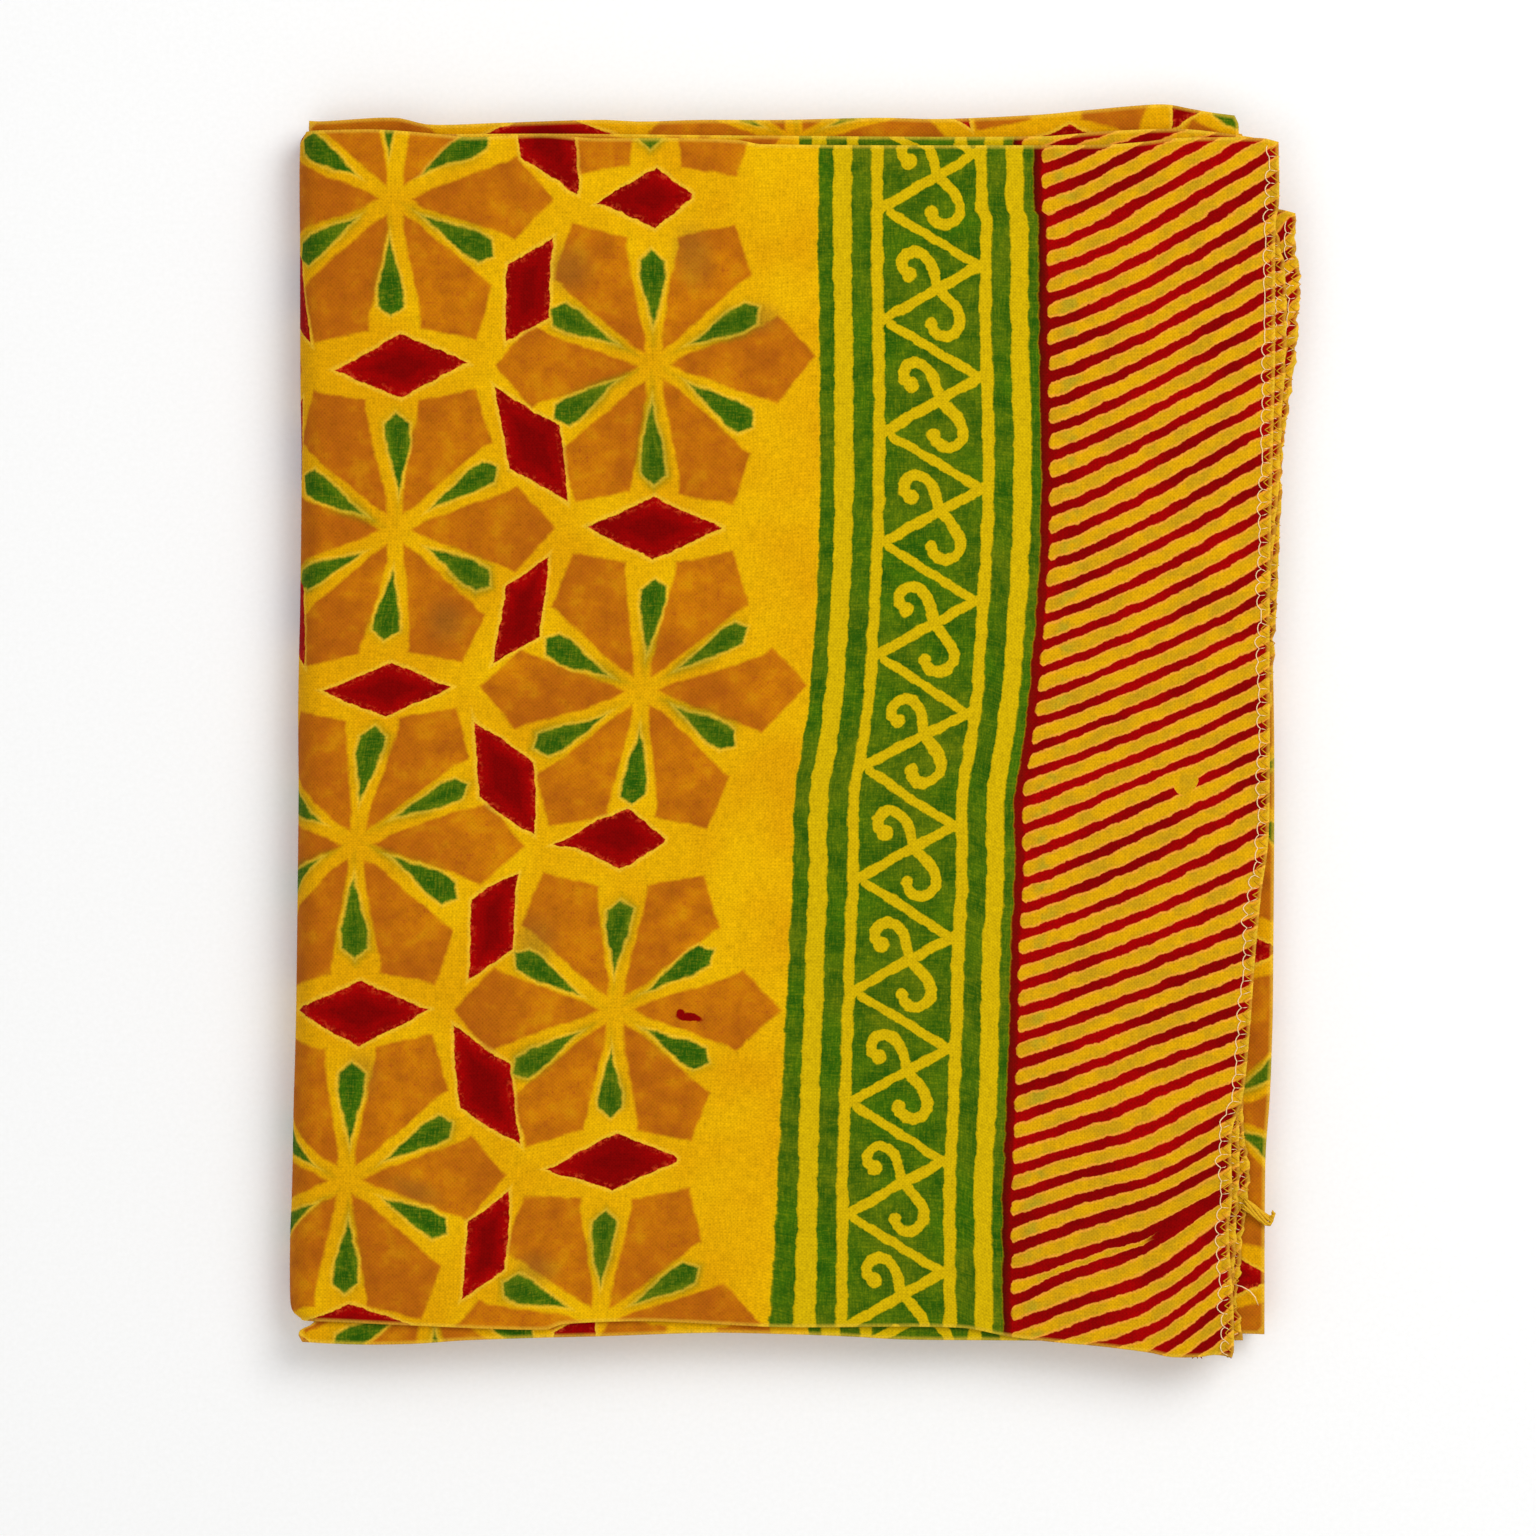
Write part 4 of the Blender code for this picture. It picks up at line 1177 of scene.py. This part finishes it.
class SARONG_OT_outer_cloth(bpy.types.Operator):
    """The top panel, the big left fold, the underside and the fold at the right, as one cloth."""

    bl_idname = "sarong.outer_cloth"
    bl_label = "Outer cloth"

    def execute(self, context):
        top_columns, left_columns, under_columns, right_columns = OUTER_COLUMNS
        left_end = top_columns + left_columns
        under_end = left_end + under_columns
        total = under_end + right_columns
        rims = Rims(left=(0.0,), right=(0.0, 0.5, 0.9, 0.6), top=(0.0, 0.4, 0.2), bottom=(0.0, 0.5))
        left_half, right_half = FRONT_TOP / 2, HIDDEN_TOP / 2
        left_around = math.pi * math.sqrt((left_half**2 + LEFT_FOLD_REACH**2) / 2)
        right_around = math.pi * math.sqrt((right_half**2 + RIGHT_FOLD_REACH**2) / 2)
        fold_share = LEFT_FOLD_REACH / PANEL_WIDE

        def place(u, v, f):
            _, up = rim_sides(u, total, v)
            v = inside_rims(v, up, PANEL_LONG)
            inner = WALL * f
            t = max(fold_share, 1 - u / top_columns * (1 - fold_share))
            x, y = outline_point(FRONT, t, v)
            dx, dy = drift(x, y)
            from_rim = min(v * PANEL_LONG, (1 - v) * PANEL_LONG)
            fold_x = x
            if u <= top_columns:
                cloth = [x - dx, y - dy]
                from_rim = min(from_rim, (1 - t) * PANEL_WIDE)
                level = FRONT_TOP - inner
                if u < 1e-4:
                    x -= rim_inset(f, rims.right, y, 1)
                    cloth[0] += inner
            elif u <= left_end:
                turn = math.pi * (u - top_columns) / left_columns
                cloth = [fold_x - dx - left_around * turn / math.pi, y - dy]
                x -= (LEFT_FOLD_REACH - inner) * math.sin(turn)
                level = left_half + (left_half - inner) * math.cos(turn)
            else:
                under = min(1.0, (u - left_end) / under_columns)
                x = blend(fold_x, smooth_through(BACK_RIGHT, y) - RIGHT_FOLD_REACH, under)
                cloth = [2 * fold_x - dx - left_around - x, y - dy]
                y = blend(y, blend(BACK_BOTTOM, BACK_TOP, v), ramp(0.0, 0.3, under))
                level = inner
                if u > under_end:
                    turn = math.pi * (u - under_end) / right_columns
                    cloth[0] -= right_around * turn / math.pi
                    x += (RIGHT_FOLD_REACH - inner) * math.sin(turn)
                    level = right_half - (right_half - inner) * math.cos(turn)
            if up:
                y -= up * rim_inset(f, rims.bottom if up < 0 else rims.top, x, 2)
                cloth[1] += up * inner
            return (x, y, level * height_share(x, y)), cloth, from_rim

        piece = sheet_piece("outer_cloth", slab(total, OUTER_ROWS), place, cloth_material())
        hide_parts("front_panel", "back_panel")
        return {"FINISHED"}


class SARONG_OT_inner_panels(bpy.types.Operator):
    """The second and third panels, whose raw ends are at the right, and the rear leaf."""

    bl_idname = "sarong.inner_panels"
    bl_label = "Inner panels"

    def execute(self, context):
        second = flat_sheet(
            "second_cloth", SECOND, (SECOND_BOTTOM, SECOND_TOP), (64, 210),
            Rims(left=(0.0,), right=(0.0, 0.8, 0.4), top=(0.0, 0.5), bottom=(0.0, 0.4)), second_print, 11,
            frill=0.7,
        )
        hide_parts("second_panel")
        third = flat_sheet(
            "third_cloth", THIRD, (THIRD_BOTTOM, THIRD_TOP), (64, 230),
            Rims(left=(0.0,), right=(0.0, 1.0, 0.5), top=(0.0, 0.6), bottom=(0.0, 0.5)), third_print, 23,
            frill=0.9,
        )
        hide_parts("third_panel")
        rear = flat_sheet(
            "rear_cloth", REAR, (REAR_BOTTOM, REAR_TOP), (90, 100),
            Rims(left=(0.0,), right=(0.0, 0.6), top=(0.0, 0.5, 0.2, 0.7), bottom=(0.0, 0.4, 0.1)),
            rear_print, 37,
        )
        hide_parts("rear_leaf")
        return {"FINISHED"}


class SARONG_OT_hidden_leaves(bpy.types.Operator):
    """The leaves inside the packet, whose rims show at its top and bottom edges."""

    bl_idname = "sarong.hidden_leaves"
    bl_label = "Hidden leaves"

    def execute(self, context):
        leaves, gap = 3, 0.08
        height = (HIDDEN_TOP - HIDDEN_BOTTOM - (leaves - 1) * gap) / leaves
        for leaf, back in enumerate((0.8, 0.0, 1.3)):
            bottom = HIDDEN_BOTTOM + leaf * (height + gap)
            name = f"hidden_leaf_{leaf + 1}"
            piece = flat_sheet(
                name, HIDDEN, (bottom, bottom + height), (60, 64),
                Rims(
                    left=(0.0, 0.2), right=(0.0, 0.3), top=(back, back + 0.6, back + 0.2, back + 0.5),
                    bottom=(back, back + 0.5),
                ),
                lambda x, y, leaf=leaf: (x - 480.0 - 240.0 * leaf, y + 12.0 * leaf), 51 + 9 * leaf,
            )
            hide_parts("inner_folds")
        return {"FINISHED"}


class SARONG_OT_threads(bpy.types.Operator):
    """The overlock along the raw ends, the tuft of yarn, the loose thread and the frayed red threads."""

    bl_idname = "sarong.threads"
    bl_label = "Threads"

    def execute(self, context):
        pale = spun_thread("pale_spun_needle_thread", INKS["needle_thread"])
        gold = spun_thread("gold_spun_looper_thread", INKS["looper_thread"])
        yarn = spun_thread("gold_cotton_yarn", INKS["yarn"])
        red = spun_thread("red_frayed_cotton", INKS["red_yarn"])
        for name, outline, level, low, high, seed in RAW_ENDS:
            needle, looper, pulls = overlock_paths(outline.right, level, low, high, seed)
            strand_piece(f"{name}_needle_thread", [(NEEDLE_RADIUS, needle), *pulls], pale)
            strand_piece(f"{name}_looper_thread", [(LOOPER_RADIUS, looper)], gold)

        paths = []
        for strand in range(TUFT_STRANDS):
            points = []
            for step, (x, y, z) in enumerate(TUFT_SPINE):
                spread = 1.0 if step else 1.3
                angle = math.tau * strand / TUFT_STRANDS + 0.5 * step
                across, up = math.cos(angle), math.sin(angle)
                points.append((x + 0.3 * across, y + spread * across, z + 0.35 * up))
            paths.append((TUFT_RADIUS, points))
        strand_piece("yarn_tuft", paths, yarn)

        loose = [(x, y, THIRD_TOP * height_share(x, y) + above) for x, y, above in LOOSE_THREAD]
        strand_piece("loose_thread", [(LOOSE_RADIUS, loose)], pale)
        frayed = []
        for x, lean in FRAYED_THREADS:
            points = [(x, -145.2, 13.3), (x + 0.3 * lean, -145.9, 13.2), (x + lean, -146.35, 12.9)]
            frayed.append((FRAYED_RADIUS, points))
        strand_piece("frayed_threads", frayed, red)
        return {"FINISHED"}


class SARONG_OT_stage(bpy.types.Operator):
    """The pale floor, the soft lights and the camera straight above."""

    bl_idname = "sarong.stage"
    bl_label = "Stage"

    def execute(self, context):
        scene = context.scene
        mesh = bmesh.new()
        bmesh.ops.create_grid(mesh, x_segments=1, y_segments=1, size=3.0)
        data = bpy.data.meshes.new("floor")
        mesh.to_mesh(data)
        mesh.free()
        data.materials.append(backdrop_paper())
        floor = bpy.data.objects.new("floor", data)
        scene.collection.objects.link(floor)

        world = bpy.data.worlds.new("soft_white_room")
        scene.world = world
        world.use_nodes = True
        sky = world.node_tree.nodes["Background"]
        sky.inputs["Color"].default_value = (1.0, 1.0, 1.0, 1.0)
        sky.inputs["Strength"].default_value = 0.5

        key = scene.sarong.key_power
        for name, place, size, power in (
            ("key_softbox", (0.8, 0.7, 1.2), 1.0, key), ("fill_softbox", (-0.5, -0.6, 1.5), 1.4, key * 0.4),
        ):
            light = bpy.data.lights.new(name, "AREA")
            light.shape = "SQUARE"
            light.size = size
            light.energy = power
            lamp = bpy.data.objects.new(name, light)
            lamp.location = place
            lamp.rotation_euler = Vector(place).to_track_quat("Z", "Y").to_euler()
            scene.collection.objects.link(lamp)

        camera = bpy.data.cameras.new("straight_above")
        camera.sensor_width = 36.0
        camera.lens = 36.0 * (scene.sarong.camera_height - FRONT_TOP * MM) / (PHOTO_SIDE * PIXEL * MM)
        eye = bpy.data.objects.new("straight_above", camera)
        eye.location = (CAMERA_OVER[0] * MM, CAMERA_OVER[1] * MM, scene.sarong.camera_height)
        scene.collection.objects.link(eye)
        scene.camera = eye
        scene.view_settings.view_transform = "Standard"
        return {"FINISHED"}


class SARONG_PT_panel(bpy.types.Panel):
    """Lists the sarong's pieces and settings."""

    bl_idname = "SARONG_PT_panel"
    bl_label = "Folded sarong"
    bl_space_type = "VIEW_3D"
    bl_region_type = "UI"
    bl_category = "Sarong"

    def draw(self, context):
        for name in SarongSettings.__annotations__:
            self.layout.prop(context.scene.sarong, name)
        for operator in OPERATORS:
            self.layout.operator(operator.bl_idname)


OPERATORS = (
    SARONG_OT_outer_cloth, SARONG_OT_inner_panels, SARONG_OT_hidden_leaves, SARONG_OT_threads,
    SARONG_OT_stage,
)
CLASSES = (SarongSettings, *OPERATORS, SARONG_PT_panel)


def register():
    for cls in CLASSES:
        bpy.utils.register_class(cls)
    bpy.types.Scene.sarong = bpy.props.PointerProperty(type=SarongSettings)


def unregister():
    del bpy.types.Scene.sarong
    for cls in reversed(CLASSES):
        bpy.utils.unregister_class(cls)


def main():
    register()
    bpy.ops.sarong.outer_cloth()
    bpy.ops.sarong.inner_panels()
    bpy.ops.sarong.hidden_leaves()
    bpy.ops.sarong.threads()
    bpy.ops.sarong.stage()


if __name__ == "__main__":
    main()
